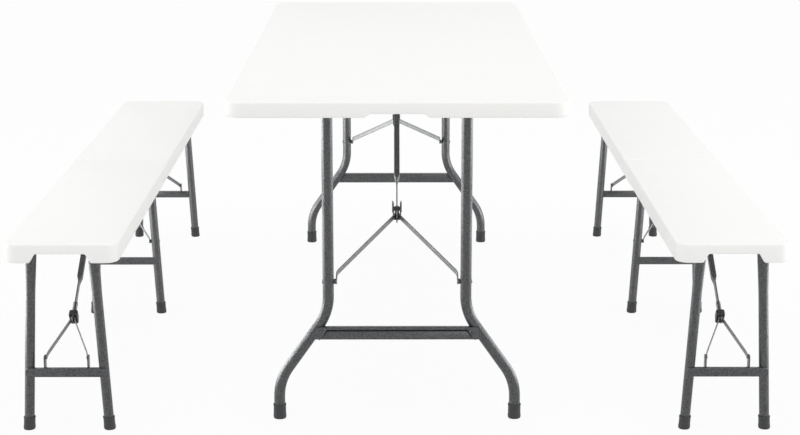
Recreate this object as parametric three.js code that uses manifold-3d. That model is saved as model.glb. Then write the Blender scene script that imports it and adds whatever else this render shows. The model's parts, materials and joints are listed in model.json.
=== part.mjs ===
// Folding table with two folding benches, standing open.
// Millimetres. +X to the right, +Y along the table, +Z up, origin on the floor below the table's centre.
import * as THREE from 'three';
import { mergeVertices } from 'three/addons/utils/BufferGeometryUtils.js';
import Module from 'manifold-3d';

const wasm = await Module();
wasm.setup();

// Driving dimensions
const gap = 0.3; // running clearance between pieces that touch or turn in each other
const weld = 1; // depth by which welded and moulded details sink into what carries them
const degree = Math.PI / 180;
const samePoint = 1e-4; // corners closer than this are one corner
const notchShoulder = 0.75; // share of a cut-out's height where its ramps start to round off
const facets = { corner: 3, bend: 3, edge: 2, leg: 10, pin: 8 }; // faces in a turn or a corner of each kind

const table = {
  length: 1800,
  width: 740,
  height: 740,
  panel: 16, // thickness of the moulded top
  skirtDepth: 34, // top surface to the lower edge of the skirt
  skirtWall: 18,
  cornerRadius: 40,
  edgeRadius: 5,
  notchWidth: 128, // cut-out in the middle of each end skirt
  notchHeight: 10,
  notchRamp: 8,
  channelWidth: 46, // groove in the underside that takes the folded brace arms
  channelDepth: 11,
  channelReach: 700, // half length of the groove
  railWidth: 20,
  railHeight: 24,
  railCorner: 3,
  railInset: 32, // side of the top to the outside of the rail
  railEndInset: 45,
  pinSpacing: 60, // table centre to the upper pivot of each brace arm
  bracketWall: 2,
  bracketLip: 10, // brace pin to the lower edge of the bracket that carries it
};

const bench = {
  length: 1800,
  width: 250,
  height: 430,
  spacing: 728, // table centre line to bench centre line
  panel: 11,
  skirtDepth: 42,
  skirtWall: 16,
  seamWall: 14,
  cornerRadius: 30,
  edgeRadius: 4,
  seamGap: 0.6,
  notchWidth: 121,
  notchHeight: 20,
  notchRamp: 8,
  channelWidth: 40,
  channelDepth: 6,
  socketWall: 5, // moulding around each pivot stub
  socketLength: 27, // skirt wall to the inner end of the socket
  earReach: 7.7, // brace pin to the edges of the ears that carry it
  knuckleRadius: 6,
  knuckleCount: 3,
  knuckleSpan: 180,
  hingeDrop: 0.5, // lower edge of the skirt to the hinge rod's axis
  hingeRodRadius: 3,
};

const tableFrame = {
  inset: 100, // end of the top to the leg pivot
  pivotClearance: 1.5, // underside of the top to the pivot tube
  fold: 87.5, // degrees from standing to folded
  legRadius: 12.5,
  legSpread: 153, // half distance between the legs at the pivot
  footSpread: 265,
  bendTop: 287, // height where the leg starts to bend outward
  bendRadius: 120,
  bendAngle: 35,
  stubRadius: 6,
  stubLength: 12,
  barHeight: 28,
  barCentre: 203.5,
  barTab: 3, // thickness of the bar's ends on the outside of the legs
  barLap: 7, // legs' middle to the ends of the bar
  barInside: -3, // bar's inner face to the legs' middle plane, inward positive
  trayDepth: 9, // hollow pressed into the bar's outer face
  trayRim: 6,
  traySill: 3, // rim along the lower edge
  trayInset: 20, // legs' middle to the ends of the hollow
  capWall: 1.2,
  capHeight: 34,
  capSole: 6,
  capChamfer: 2,
  rivetRadius: 5,
  rivetHead: 2.5,
};

const tableBrace = {
  forkHeight: 320, // height of the fork's rivets
  forkOffset: 0, // rivets to the legs' middle plane, inward positive
  armDrop: 24, // top surface to the arm's upper pivot
  armWidth: 13.5,
  armHeight: 13,
  armCorner: 2,
  armEnd: 10, // arm past its upper pivot
  pinRadius: 4,
  kneeRadius: 3.2,
  kneeHead: 0.7,
  bladeThickness: 3,
  bladeHeight: 20,
  bladeCorner: 0.8,
  bladeLength: 92, // knee to the squeezed stretch
  squeeze: 26, // stretch where the tube turns into the blade
  tail: 44, // blade past the knee
  strapWidth: 13,
  strapThickness: 3,
  strapLead: 4, // straps stay together this far past the ring
  strapFoot: 26, // straight lower ends of the straps
  bushLength: 4,
  bushRadius: 6,
  ringDrop: 13, // knee to the ring's middle
  ringLength: 14,
  ringWall: 2.6,
  ringSlack: 0.8, // play of the ring over the arm's width
  ringHang: 17, // arm's axis to the ring's lower inside
  tabLength: 34,
  tabFlare: 0.5,
};

const benchFrame = {
  pivotClearance: 3, // underside of the seat to a folded leg
  endClearance: 3, // end skirt to a standing leg
  fold: 90,
  legRadius: 11,
  legInset: 14, // socket to the leg's middle
  legHead: 5, // leg above its pivot
  splay: 21.4, // how much farther out the foot stands than the top of the leg
  stubRadius: 5,
  barHeight: 20,
  barEdge: 2,
  barTab: 3.5, // bar's flattened ends on the outside of the legs
  barCorner: 6,
  barInside: -3, // bar's inner face to the legs' middle plane
  barCentre: 135,
  capWall: 1.3,
  capHeight: 30,
  capSole: 6,
  capChamfer: 2,
  rivetRadius: 4.5,
  rivetHead: 2,
  lugThickness: 3,
  lugMargin: 6,
};

const benchBrace = {
  forkHeight: 166,
  forkOffset: 4.5,
  forkSpread: 46, // half distance between the outsides of the fork's lower ends
  armReach: 380, // leg pivot to the arm's upper pivot
  armDrop: 19.5,
  armWidth: 13.5,
  armHeight: 11,
  armCorner: 2,
  armEnd: 8,
  pinRadius: 3.5,
  kneeRadius: 2.8,
  kneeHead: 0.7,
  bladeThickness: 3,
  bladeHeight: 17,
  bladeCorner: 0.8,
  bladeLength: 60,
  squeeze: 22,
  tail: 56,
  strapWidth: 11,
  strapThickness: 2.5,
  strapLead: 4,
  strapFoot: 6,
  bushLength: 0,
  bushRadius: 5,
  ringDrop: 34,
  ringLength: 16,
  ringWall: 2.5,
  ringSlack: 0.8,
  ringHang: 18,
  tabLength: 0,
  tabFlare: 0,
};

// The frame beside the seam: its bar lies between the legs and its fork is riveted to them.
const middleFrame = { ...benchFrame, seamClearance: 1.7, barTab: 0, barCentre: 147 };
const middleBrace = {
  ...benchBrace,
  forkHeight: 200,
  forkOffset: 0,
  armReach: 235,
  armDrop: 24,
  bladeLength: 55,
  bushLength: 3,
  ringDrop: 24,
};

// Materials
const finish = {
  moulded: { color: 0xf4f4f2, roughness: 0.55, metalness: 0 },
  steel: { color: 0x5f6163, roughness: 0.45, metalness: 0.6 },
  zinc: { color: 0x3a3b3d, roughness: 0.4, metalness: 0.7 },
  cap: { color: 0x3c3d3f, roughness: 0.7, metalness: 0 },
};

// Solids from three.js geometry

function solid(geometry) {
  const source = geometry.clone();
  source.deleteAttribute('normal');
  source.deleteAttribute('uv');
  const merged = mergeVertices(source, samePoint);
  const points = merged.getAttribute('position').array;
  const triangles = [];
  let volume = 0;
  const corner = (i) => new THREE.Vector3().fromArray(points, 3 * i);
  for (let i = 0; i < merged.index.count; i += 3) {
    const [a, b, c] = merged.index.array.slice(i, i + 3);
    if (a === b || b === c || c === a) continue;
    triangles.push(a, b, c);
    volume += corner(a).dot(corner(b).cross(corner(c)));
  }
  if (volume < 0) triangles.reverse();
  return new wasm.Manifold(new wasm.Mesh({
    numProp: 3,
    vertProperties: new Float32Array(points),
    triVerts: new Uint32Array(triangles),
  }));
}

function geometryOf(body) {
  const mesh = body.getMesh();
  const geometry = new THREE.BufferGeometry();
  geometry.setAttribute('position', new THREE.BufferAttribute(mesh.vertProperties, mesh.numProp));
  geometry.setIndex(new THREE.BufferAttribute(mesh.triVerts, 1));
  geometry.computeVertexNormals();
  return geometry;
}

function joined(first, ...others) {
  return others.reduce((whole, next) => whole.add(next), first);
}

function cut(body, ...tools) {
  return tools.reduce((rest, tool) => rest.subtract(tool), body);
}

function box([x0, x1], [y0, y1], [z0, z1]) {
  const geometry = new THREE.BoxGeometry(x1 - x0, y1 - y0, z1 - z0);
  return solid(geometry.translate((x0 + x1) / 2, (y0 + y1) / 2, (z0 + z1) / 2));
}

// Cylinder along X
function rod(x0, x1, y, z, radius, sides = facets.pin) {
  const geometry = new THREE.CylinderGeometry(radius, radius, x1 - x0, sides);
  return solid(geometry.rotateZ(Math.PI / 2).translate((x0 + x1) / 2, y, z));
}

// Radius of a faceted bore whose flats clear a round of the given radius
function boreRadius(radius, sides) {
  return (radius + gap) / Math.cos(Math.PI / sides);
}

// Hole along X in which a rod of the given radius turns freely
function bore(x0, x1, y, z, radius, sides = facets.pin) {
  return rod(x0, x1, y, z, boreRadius(radius, sides), sides);
}

// Outline swept straight along one axis. The outline's own axes are the two that follow that axis
// in X, Y, Z order.
const sweepBasis = {
  x: [[0, 1, 0], [0, 0, 1], [1, 0, 0]],
  y: [[0, 0, 1], [1, 0, 0], [0, 1, 0]],
  z: [[1, 0, 0], [0, 1, 0], [0, 0, 1]],
};

function prism(outline, axis, from, to, { bevel = 0, corner = facets.edge } = {}) {
  const geometry = new THREE.ExtrudeGeometry(outline, {
    depth: to - from - 2 * bevel,
    bevelEnabled: bevel > 0,
    bevelSize: bevel,
    bevelOffset: -bevel,
    bevelThickness: bevel,
    bevelSegments: facets.edge,
    curveSegments: corner,
  });
  const [a, b, c] = sweepBasis[axis].map((v) => new THREE.Vector3(...v));
  geometry.translate(0, 0, from + bevel);
  return solid(geometry.applyMatrix4(new THREE.Matrix4().makeBasis(a, b, c)));
}

function polygon(points) {
  return new THREE.Shape(points.map(([u, v]) => new THREE.Vector2(u, v)));
}

// Rectangle with a radius at its low-v corners and another at its high-v corners
function roundedRectangle([u0, u1], [v0, v1], lowRadius, highRadius = lowRadius) {
  const shape = new THREE.Shape();
  shape.moveTo(u0 + lowRadius, v0);
  shape.lineTo(u1 - lowRadius, v0);
  if (lowRadius > 0) shape.absarc(u1 - lowRadius, v0 + lowRadius, lowRadius, -Math.PI / 2, 0);
  shape.lineTo(u1, v1 - highRadius);
  shape.absarc(u1 - highRadius, v1 - highRadius, highRadius, 0, Math.PI / 2);
  shape.lineTo(u0 + highRadius, v1);
  shape.absarc(u0 + highRadius, v1 - highRadius, highRadius, Math.PI / 2, Math.PI);
  shape.lineTo(u0, v0 + lowRadius);
  if (lowRadius > 0) shape.absarc(u0 + lowRadius, v0 + lowRadius, lowRadius, Math.PI, 1.5 * Math.PI);
  return shape;
}

// Path that passes through chosen stations, one for each step of a sweep
class StationPath extends THREE.Curve {
  constructor(stations) {
    super();
    this.stations = stations;
  }

  getPoint(t) {
    const place = t * (this.stations.length - 1);
    const index = Math.min(Math.floor(place), this.stations.length - 2);
    return this.stations[index].clone().lerp(this.stations[index + 1], place - index);
  }

  getPointAt(u) {
    return this.getPoint(u);
  }

  getTangentAt(u) {
    const last = this.stations.length - 1;
    const index = Math.round(u * last);
    const before = this.stations[Math.max(index - 1, 0)];
    const at = this.stations[index];
    const after = this.stations[Math.min(index + 1, last)];
    const arriving = at.clone().sub(before).normalize();
    const leaving = after.clone().sub(at).normalize();
    return arriving.add(leaving).normalize();
  }
}

// Round tube along its stations, with a corner of its section facing across the frame
function tube(stations, radius, sides) {
  const ring = Array.from({ length: sides }, (_, i) => {
    const angle = Math.PI / 2 + (2 * Math.PI * i) / sides;
    return [radius * Math.cos(angle), radius * Math.sin(angle)];
  });
  return solid(new THREE.ExtrudeGeometry(polygon(ring), {
    steps: stations.length - 1,
    extrudePath: new StationPath(stations),
    bevelEnabled: false,
  }));
}

// Rectangular tube with bevelled corners along Y, through sections of [y, half width, half height, bevel]
function rectangularLoft(sections) {
  const positions = [];
  const index = [];
  const sides = 8;
  for (const [y, w, h, b] of sections) {
    const upper = [[w, h - b], [w - b, h], [b - w, h], [-w, h - b]];
    const lower = upper.map(([x, z]) => [-x, -z]);
    for (const [x, z] of [...upper, ...lower]) positions.push(x, y, z);
  }
  for (let s = 0; s + 1 < sections.length; s += 1) {
    for (let i = 0; i < sides; i += 1) {
      const a = s * sides + i;
      const b = s * sides + ((i + 1) % sides);
      index.push(a, a + sides, b, b, a + sides, b + sides);
    }
  }
  const end = (sections.length - 1) * sides;
  for (let i = 1; i + 1 < sides; i += 1) {
    index.push(0, i, i + 1);
    index.push(end, end + i + 1, end + i);
  }
  const geometry = new THREE.BufferGeometry();
  geometry.setAttribute('position', new THREE.Float32BufferAttribute(positions, 3));
  geometry.setIndex(index);
  return solid(geometry);
}

function revolved(profile, sides) {
  const points = profile.map(([r, z]) => new THREE.Vector2(r, z));
  return solid(new THREE.LatheGeometry(points, sides).rotateX(Math.PI / 2));
}

function addPart(group, name, body, look) {
  const mesh = new THREE.Mesh(geometryOf(body), new THREE.MeshStandardMaterial(finish[look]));
  mesh.name = name;
  group.add(mesh);
}

function addGroup(parent, { x = 0, y = 0, z = 0, tilt = 0, turn = 0 }) {
  const group = new THREE.Group();
  group.position.set(x, y, z);
  group.rotation.set(tilt, 0, turn);
  parent.add(group);
  return group;
}

// Leg frames stand in their own group: y is inward, the way the frame folds, and z is up from the floor.

// Legs run from the pivot to the sole of the foot cap. A wishbone leg bends out and back on two equal arcs.
function wishboneStations(frame, side) {
  const angle = frame.bendAngle * degree;
  const shift = frame.footSpread - frame.legSpread;
  const arcShift = frame.bendRadius * (1 - Math.cos(angle));
  const slant = (shift - 2 * arcShift) / Math.sin(angle);
  const drop = 2 * frame.bendRadius * Math.sin(angle) + slant * Math.cos(angle);
  const steps = facets.bend;
  const points = [[frame.legSpread, frame.pivotHeight]];
  for (let i = 0; i <= steps; i += 1) {
    const turn = (angle * i) / steps;
    const x = frame.legSpread + frame.bendRadius * (1 - Math.cos(turn));
    points.push([x, frame.bendTop - frame.bendRadius * Math.sin(turn)]);
  }
  for (let i = steps; i >= 0; i -= 1) {
    const turn = (angle * i) / steps;
    const x = frame.footSpread - frame.bendRadius * (1 - Math.cos(turn));
    points.push([x, frame.bendTop - drop + frame.bendRadius * Math.sin(turn)]);
  }
  points.push([frame.footSpread, frame.capSole + gap]);
  return points.map(([x, z]) => new THREE.Vector3(side * x, 0, z));
}

function straightStations(frame, side) {
  const head = frame.pivotHeight + frame.legHead;
  return [
    new THREE.Vector3(side * straightLegAt(frame, head), 0, head),
    new THREE.Vector3(side * frame.footSpread, 0, 0),
  ];
}

// Straight leg's distance from the middle at a height
function straightLegAt(frame, height) {
  return THREE.MathUtils.mapLinear(height, frame.pivotHeight, 0, frame.legSpread, frame.footSpread);
}

// Pivot pins through the heads of two straight legs, reaching into the sockets
function pivotPins(frame) {
  const inner = frame.legSpread - frame.legRadius - frame.rivetHead;
  const outer = frame.pivotReach + bench.socketLength - gap;
  return [[inner, outer], [-outer, -inner]].map((ends) =>
    rod(...ends, 0, frame.pivotHeight, frame.stubRadius));
}

// Rivet heads on the outside of both legs, where the fork is riveted on
function rivetHeads(frame, brace, legX) {
  const outside = legX + frame.legRadius;
  return [-1, 1].map((side) => {
    const inner = side * (outside - weld);
    const outer = side * (outside + frame.rivetHead);
    const ends = [Math.min(inner, outer), Math.max(inner, outer)];
    return rod(...ends, brace.forkOffset, brace.forkHeight, frame.rivetRadius);
  });
}

function tableLegFrame(frame, brace, reach) {
  const legs = [-1, 1].map((side) => tube(wishboneStations(frame, side), frame.legRadius, facets.leg));
  const pivot = rod(-reach, reach, 0, frame.pivotHeight, frame.legRadius, facets.leg);
  const stubReach = reach + frame.stubLength;
  const stubs = rod(-stubReach, stubReach, 0, frame.pivotHeight, frame.stubRadius);
  return joined(pivot, stubs, ...legs, ...rivetHeads(frame, brace, frame.legSpread));
}

// Leg's distance from the middle at a height on its bend
function wishboneLegAt(frame, height) {
  const stations = wishboneStations(frame, 1);
  const above = stations.findLast((p) => p.z > height);
  const below = stations.find((p) => p.z <= height);
  return THREE.MathUtils.mapLinear(height, above.z, below.z, above.x, below.x);
}

// Outline in (z, x) between two heights, with ends that follow the legs at a distance
function betweenLegs(frame, low, high, offset) {
  const foot = wishboneLegAt(frame, low) + offset;
  const head = wishboneLegAt(frame, high) + offset;
  return polygon([[low, -foot], [high, -head], [high, head], [low, foot]]);
}

// Pressed bar across the wishbone legs. Its ends lap over their outside, and its outer face is a tray.
function tableCrossbar(frame) {
  const around = frame.legRadius + gap;
  const legs = [-1, 1].map((side) => tube(wishboneStations(frame, side), around, facets.leg));
  const low = frame.barCentre - frame.barHeight / 2;
  const high = frame.barCentre + frame.barHeight / 2;
  const front = -around - frame.barTab;
  const tray = betweenLegs(frame, low + frame.traySill, high - frame.trayRim, -frame.trayInset);
  return cut(
    prism(betweenLegs(frame, low, high, frame.barLap), 'y', front, frame.barInside),
    prism(tray, 'y', front - weld, front + frame.trayDepth),
    ...legs,
  );
}

// Straight splayed legs, pivot pins and bar, welded together. The legs are cut level above the caps' soles.
function benchLegFrame(frame, brace) {
  const reach = 2 * frame.footSpread;
  const floor = box([-reach, reach], [-reach, reach], [-reach, frame.capSole + gap]);
  const legs = [-1, 1].map((side) =>
    cut(tube(straightStations(frame, side), frame.legRadius, facets.leg), floor));
  const legX = straightLegAt(frame, frame.barCentre);
  const depth = [-frame.legRadius, frame.barInside];
  const height = [frame.barCentre - frame.barHeight / 2, frame.barCentre + frame.barHeight / 2];
  const section = roundedRectangle(depth, height, frame.barEdge);
  const pieces = [...legs, ...pivotPins(frame), prism(section, 'x', -legX, legX, { corner: 1 })];
  if (frame.barTab > 0) pieces.push(barPlate(frame, legX, height), ...forkLugs(frame, brace, height));
  else pieces.push(...rivetHeads(frame, brace, straightLegAt(frame, brace.forkHeight)));
  return joined(...pieces);
}

// The bar's flat face, lying round-ended on the outside of the legs
function barPlate(frame, legX, height) {
  const reach = legX + frame.legRadius;
  const outline = roundedRectangle(height, [-reach, reach], frame.barCorner);
  return prism(outline, 'y', -frame.legRadius - frame.barTab, weld - frame.legRadius);
}

// Upright lugs on the bar, outside the fork's lower ends
function forkLugs(frame, brace, [low, high]) {
  const inner = brace.forkSpread + gap;
  const depth = [frame.barInside - frame.lugMargin, brace.forkOffset + frame.lugMargin];
  const height = [high - frame.lugMargin, brace.forkHeight + frame.lugMargin];
  const outline = roundedRectangle(depth, height, 0, frame.lugMargin);
  return [inner, -inner - frame.lugThickness].map((x) => prism(outline, 'x', x, x + frame.lugThickness));
}

// Cup-shaped cap on the foot of a leg that leans by the given slope
function footCap(frame, slope) {
  const inside = boreRadius(frame.legRadius, facets.leg);
  const outside = inside + frame.capWall;
  const cap = revolved([
    [0, 0],
    [outside - frame.capChamfer, 0],
    [outside, frame.capChamfer],
    [outside, frame.capHeight],
    [inside, frame.capHeight],
    [inside, frame.capSole],
    [0, frame.capSole],
  ], facets.leg);
  const shear = new THREE.Matrix4().set(1, 0, slope, 0, 0, 1, 0, 0, 0, 0, 1, 0, 0, 0, 0, 1);
  return cap.transform(shear.elements);
}

// Braces. Pivots lie in the frame's fold plane as (y, z). The arm and fork are straight when the frame
// stands, and lie folded on each other when it is folded: those two states set their lengths.
function braceLayout(frame, brace, armReach, topHeight) {
  const fork = new THREE.Vector2(brace.forkOffset, brace.forkHeight);
  const arm = new THREE.Vector2(armReach, topHeight - brace.armDrop);
  const leg = new THREE.Vector2(0, frame.pivotHeight);
  const folded = fork.clone().rotateAround(leg, frame.fold * degree);
  const open = arm.distanceTo(fork);
  const shut = arm.distanceTo(folded);
  const forkLength = (open - shut) / 2;
  return {
    forkLength,
    armLength: (open + shut) / 2,
    knee: fork.clone().lerp(arm, forkLength / open),
    slope: arm.clone().sub(fork).angle(),
  };
}

// In a brace's group the knee is the origin, +Y runs up the arm and X is across.
function braceArm(brace, armLength) {
  const half = [brace.armWidth / 2, brace.armHeight / 2, brace.armCorner];
  const blade = [brace.bladeThickness / 2, brace.bladeHeight / 2, brace.bladeCorner];
  const tip = [brace.bladeThickness / 2, brace.bladeHeight / 4, brace.bladeCorner];
  const body = rectangularLoft([
    [armLength + brace.armEnd, ...half],
    [brace.bladeLength + brace.squeeze, ...half],
    [brace.bladeLength, ...blade],
    [-brace.tail + brace.bladeHeight / 4, ...blade],
    [-brace.tail, ...tip],
  ]);
  const pinHole = bore(-brace.armWidth, brace.armWidth, armLength, 0, brace.pinRadius);
  const kneeHole = bore(-brace.armWidth, brace.armWidth, 0, 0, brace.kneeRadius);
  return cut(body, pinHole, kneeHole);
}

// Two bent straps with round ends, riveted together through the blade
function braceFork(brace, forkLength, spread) {
  const t = brace.strapThickness;
  const radius = brace.strapWidth / 2;
  const near = brace.bladeThickness / 2 + gap;
  const wide = spread - t;
  const straight = brace.ringDrop + brace.ringLength / 2 + brace.strapLead;
  const bend = brace.strapFoot - forkLength;
  const low = -forkLength - radius;
  const sideView = roundedRectangle([low, radius], [-radius, radius], radius - gap);
  const profile = prism(sideView, 'x', -2 * spread, 2 * spread);
  const strap = polygon([
    [near, radius], [near, -straight], [wide, bend], [wide, low],
    [spread, low], [spread, bend + t / 2], [near + t, t / 2 - straight], [near + t, radius],
  ]);
  const mirrored = polygon(strap.getPoints().map((p) => [-p.x, p.y]));
  const straps = [strap, mirrored].map((outline) => prism(outline, 'z', -radius, radius).intersect(profile));
  const head = near + t + brace.kneeHead;
  const rivet = rod(-head, head, 0, 0, brace.kneeRadius);
  const bushes = brace.bushLength > 0 ? forkBushes(brace, forkLength, spread) : [];
  return joined(rivet, ...straps, ...bushes);
}

// Bushes between the fork's lower ends and the legs
function forkBushes(brace, forkLength, spread) {
  const from = spread - brace.strapThickness / 2;
  const to = spread + brace.bushLength;
  return [[from, to], [-to, -from]].map((ends) => rod(...ends, -forkLength, 0, brace.bushRadius));
}

// Sleeve that slides down the blade over the straps. It hangs on the blade's upper edge.
function lockRing(brace) {
  const inside = (brace.armWidth + brace.ringSlack) / 2;
  const outside = inside + brace.ringWall;
  const top = brace.bladeHeight / 2 + gap;
  const wall = brace.ringWall;
  const [from, to] = [-brace.ringDrop - brace.ringLength / 2, -brace.ringDrop + brace.ringLength / 2];
  const outline = roundedRectangle([-brace.ringHang - wall, top + wall], [-outside, outside], wall);
  const hollow = box([-inside, inside], [from - weld, to + weld], [-brace.ringHang, top]);
  const sleeve = cut(prism(outline, 'y', from, to), hollow);
  return brace.tabLength > 0 ? joined(sleeve, ...ringTabs(brace, inside, outside, to)) : sleeve;
}

// Flared finger tabs above the ring
function ringTabs(brace, inside, outside, from) {
  const to = from + brace.tabLength;
  const points = [
    [inside, from - weld], [outside, from - weld],
    [outside + brace.tabFlare, to], [inside + brace.tabFlare, to],
  ];
  const half = brace.bladeHeight / 4;
  return [1, -1].map((side) => prism(polygon(points.map(([x, y]) => [side * x, y])), 'z', -half, half));
}

function addBrace(group, prefix, frame, brace, armReach, topHeight, spread) {
  const layout = braceLayout(frame, brace, armReach, topHeight);
  const place = addGroup(group, { y: layout.knee.x, z: layout.knee.y, tilt: layout.slope });
  addPart(place, `${prefix}_brace_arm`, braceArm(brace, layout.armLength), 'steel');
  addPart(place, `${prefix}_brace_fork`, braceFork(brace, layout.forkLength, spread), 'steel');
  addPart(place, `${prefix}_lock_ring`, lockRing(brace), 'zinc');
}

function addCaps(group, prefix, frame, slope, turned) {
  for (const side of [-1, 1]) {
    const place = addGroup(group, { x: side * frame.footSpread });
    const hand = side * turned < 0 ? 'left' : 'right';
    addPart(place, `${prefix}_${hand}_foot_cap`, footCap(frame, -side * slope), 'cap');
  }
}

// Table

// Skirt cut-out with ramped ends, as an outline in (z, x)
function notchOutline(edge, width, height, ramp) {
  const half = width / 2;
  const foot = edge - height;
  const shoulder = edge + notchShoulder * height;
  const crown = edge + height;
  return polygon([
    [foot, -half - 2 * ramp], [edge, -half - ramp], [shoulder, ramp / 4 - half], [crown, ramp - half],
    [crown, half - ramp], [shoulder, half - ramp / 4], [edge, half + ramp], [foot, half + 2 * ramp],
  ]);
}

function tableTop() {
  const half = { x: table.width / 2, y: table.length / 2 };
  const edge = table.height - table.skirtDepth;
  const under = table.height - table.panel;
  const plan = roundedRectangle([-half.x, half.x], [-half.y, half.y], table.cornerRadius);
  const wall = table.skirtWall;
  const recess = roundedRectangle(
    [wall - half.x, half.x - wall], [wall - half.y, half.y - wall], table.cornerRadius - wall);
  const notch = notchOutline(edge, table.notchWidth, table.notchHeight, table.notchRamp);
  const channel = [-table.channelWidth / 2, table.channelWidth / 2];
  return cut(
    prism(plan, 'z', edge, table.height, { bevel: table.edgeRadius, corner: facets.corner }),
    prism(recess, 'z', edge - weld, under),
    box(channel, [-table.channelReach, table.channelReach], [edge, under + table.channelDepth]),
    prism(notch, 'y', -half.y - weld, -half.y + 2 * wall),
    prism(notch, 'y', half.y - 2 * wall, half.y + weld),
  );
}

// Steel rail under each side of the top, drilled for the leg frames' pivot stubs
function sideRail(side, inner, pivotY, pivotHeight) {
  const outer = inner + table.railWidth;
  const top = table.height - table.panel - gap;
  const span = side > 0 ? [inner, outer] : [-outer, -inner];
  const half = table.length / 2 - table.railEndInset;
  const section = roundedRectangle([top - table.railHeight, top], span, table.railCorner);
  const holes = [-pivotY, pivotY].map((y) =>
    bore(span[0] - weld, span[1] + weld, y, pivotHeight, tableFrame.stubRadius));
  return cut(prism(section, 'y', -half, half), ...holes);
}

// Channel-section bracket in the middle of the top, with the pins that carry both brace arms
function braceBracket() {
  const wall = table.bracketWall;
  const inside = tableBrace.armWidth / 2 + 2 * gap;
  const outside = inside + wall;
  const roof = table.height - table.panel + table.channelDepth - gap;
  const pinZ = table.height - tableBrace.armDrop;
  const foot = pinZ - table.bracketLip;
  const half = table.pinSpacing + tableBrace.armEnd + 4 * gap;
  const section = polygon([
    [foot, -outside], [roof, -outside], [roof, outside], [foot, outside],
    [foot, inside], [roof - wall, inside], [roof - wall, -inside], [foot, -inside],
  ]);
  const pins = [-table.pinSpacing, table.pinSpacing].map((y) =>
    rod(-outside, outside, y, pinZ, tableBrace.pinRadius));
  return joined(prism(section, 'y', -half, half), ...pins);
}

function addTable(model) {
  const group = addGroup(model, {});
  const pivotY = table.length / 2 - tableFrame.inset;
  const pivotDrop = table.panel + tableFrame.pivotClearance + tableFrame.legRadius;
  const frame = { ...tableFrame, pivotHeight: table.height - pivotDrop };
  const railInner = table.width / 2 - table.railInset - table.railWidth;
  const forkSpread = frame.legSpread - frame.legRadius - gap - tableBrace.bushLength;
  addPart(group, 'table_top', tableTop(), 'moulded');
  addPart(group, 'left_rail', sideRail(-1, railInner, pivotY, frame.pivotHeight), 'steel');
  addPart(group, 'right_rail', sideRail(1, railInner, pivotY, frame.pivotHeight), 'steel');
  addPart(group, 'brace_bracket', braceBracket(), 'steel');
  for (const [name, turned] of [['near', 1], ['far', -1]]) {
    const end = addGroup(group, { y: -turned * pivotY, turn: turned > 0 ? 0 : Math.PI });
    addPart(end, `${name}_leg_frame`, tableLegFrame(frame, tableBrace, railInner - gap), 'steel');
    addPart(end, `${name}_crossbar`, tableCrossbar(frame), 'steel');
    addCaps(end, name, frame, 0, turned);
    addBrace(end, name, frame, tableBrace, pivotY - table.pinSpacing, table.height, forkSpread);
  }
}

// Benches

// One half of a seat, from the seam at y = 0 to its end, with sockets for its leg frames' pivot stubs,
// ears for its brace arms and its share of the hinge knuckles
function seatHalf(frames, knuckleShare) {
  const half = bench.width / 2;
  const end = bench.length / 2;
  const edge = bench.height - bench.skirtDepth;
  const under = bench.height - bench.panel;
  const roof = under + bench.channelDepth;
  const wall = bench.skirtWall;
  const seam = bench.seamGap / 2;
  const plan = roundedRectangle([-half, half], [seam, end], 0, bench.cornerRadius);
  const recess = roundedRectangle(
    [wall - half, half - wall], [seam + bench.seamWall, end - wall], 0, bench.cornerRadius - wall);
  const notch = notchOutline(edge, bench.notchWidth, bench.notchHeight, bench.notchRamp);
  const channel = [-bench.channelWidth / 2, bench.channelWidth / 2];
  const shell = cut(
    prism(plan, 'z', edge, bench.height, { bevel: bench.edgeRadius, corner: facets.corner }),
    prism(recess, 'z', edge - weld, under),
    box(channel, [seam + 2 * bench.seamWall, end - 2 * wall], [edge, roof]),
    prism(notch, 'y', end - 2 * wall, end + weld),
  );
  const details = frames.flatMap(({ y, fold, frame, brace }) => [
    ...pivotSockets(frame, y, half - wall, under),
    ...armEars(brace, y + fold * brace.armReach, roof),
  ]);
  const stubReach = half - wall + weld;
  const bores = frames.map(({ y, frame }) =>
    bore(-stubReach, stubReach, y, frame.pivotHeight, frame.stubRadius));
  const seat = cut(joined(shell, ...details), ...bores);
  return shareKnuckles(seat, knuckleShare, edge - bench.hingeDrop);
}

function pivotSockets(frame, y, inner, under) {
  const outside = frame.stubRadius + bench.socketWall;
  const height = [frame.pivotHeight - outside, under + weld];
  const near = frame.pivotReach + gap;
  const far = inner + weld;
  return [[near, far], [-far, -near]].map((span) => box(span, [y - outside, y + outside], height));
}

function armEars(brace, y, roof) {
  const inside = brace.armWidth / 2 + 2 * gap;
  const outside = (bench.channelWidth + weld) / 2;
  const pinZ = bench.height - brace.armDrop;
  const reach = bench.earReach;
  const ears = [[inside, outside], [-outside, -inside]].map((span) =>
    box(span, [y - reach, y + reach], [pinZ - reach, roof + weld]));
  return [...ears, rod(-outside, outside, y, pinZ, brace.pinRadius)];
}

// Knuckles alternate along the hinge: even ones belong to one half and odd ones to the other.
function shareKnuckles(body, share, hingeZ) {
  const pitch = bench.knuckleSpan / bench.knuckleCount;
  let result = body;
  for (let i = 0; i < bench.knuckleCount; i += 1) {
    const from = -bench.knuckleSpan / 2 + i * pitch;
    const own = i % 2 === share;
    const barrel = rod(from + gap, from + pitch - gap, 0, hingeZ, bench.knuckleRadius);
    const clearance = bore(from, from + pitch, 0, hingeZ, bench.knuckleRadius);
    result = own ? result.add(barrel) : result.subtract(clearance);
  }
  return result.subtract(bore(-bench.width, bench.width, 0, hingeZ, bench.hingeRodRadius));
}

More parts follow.
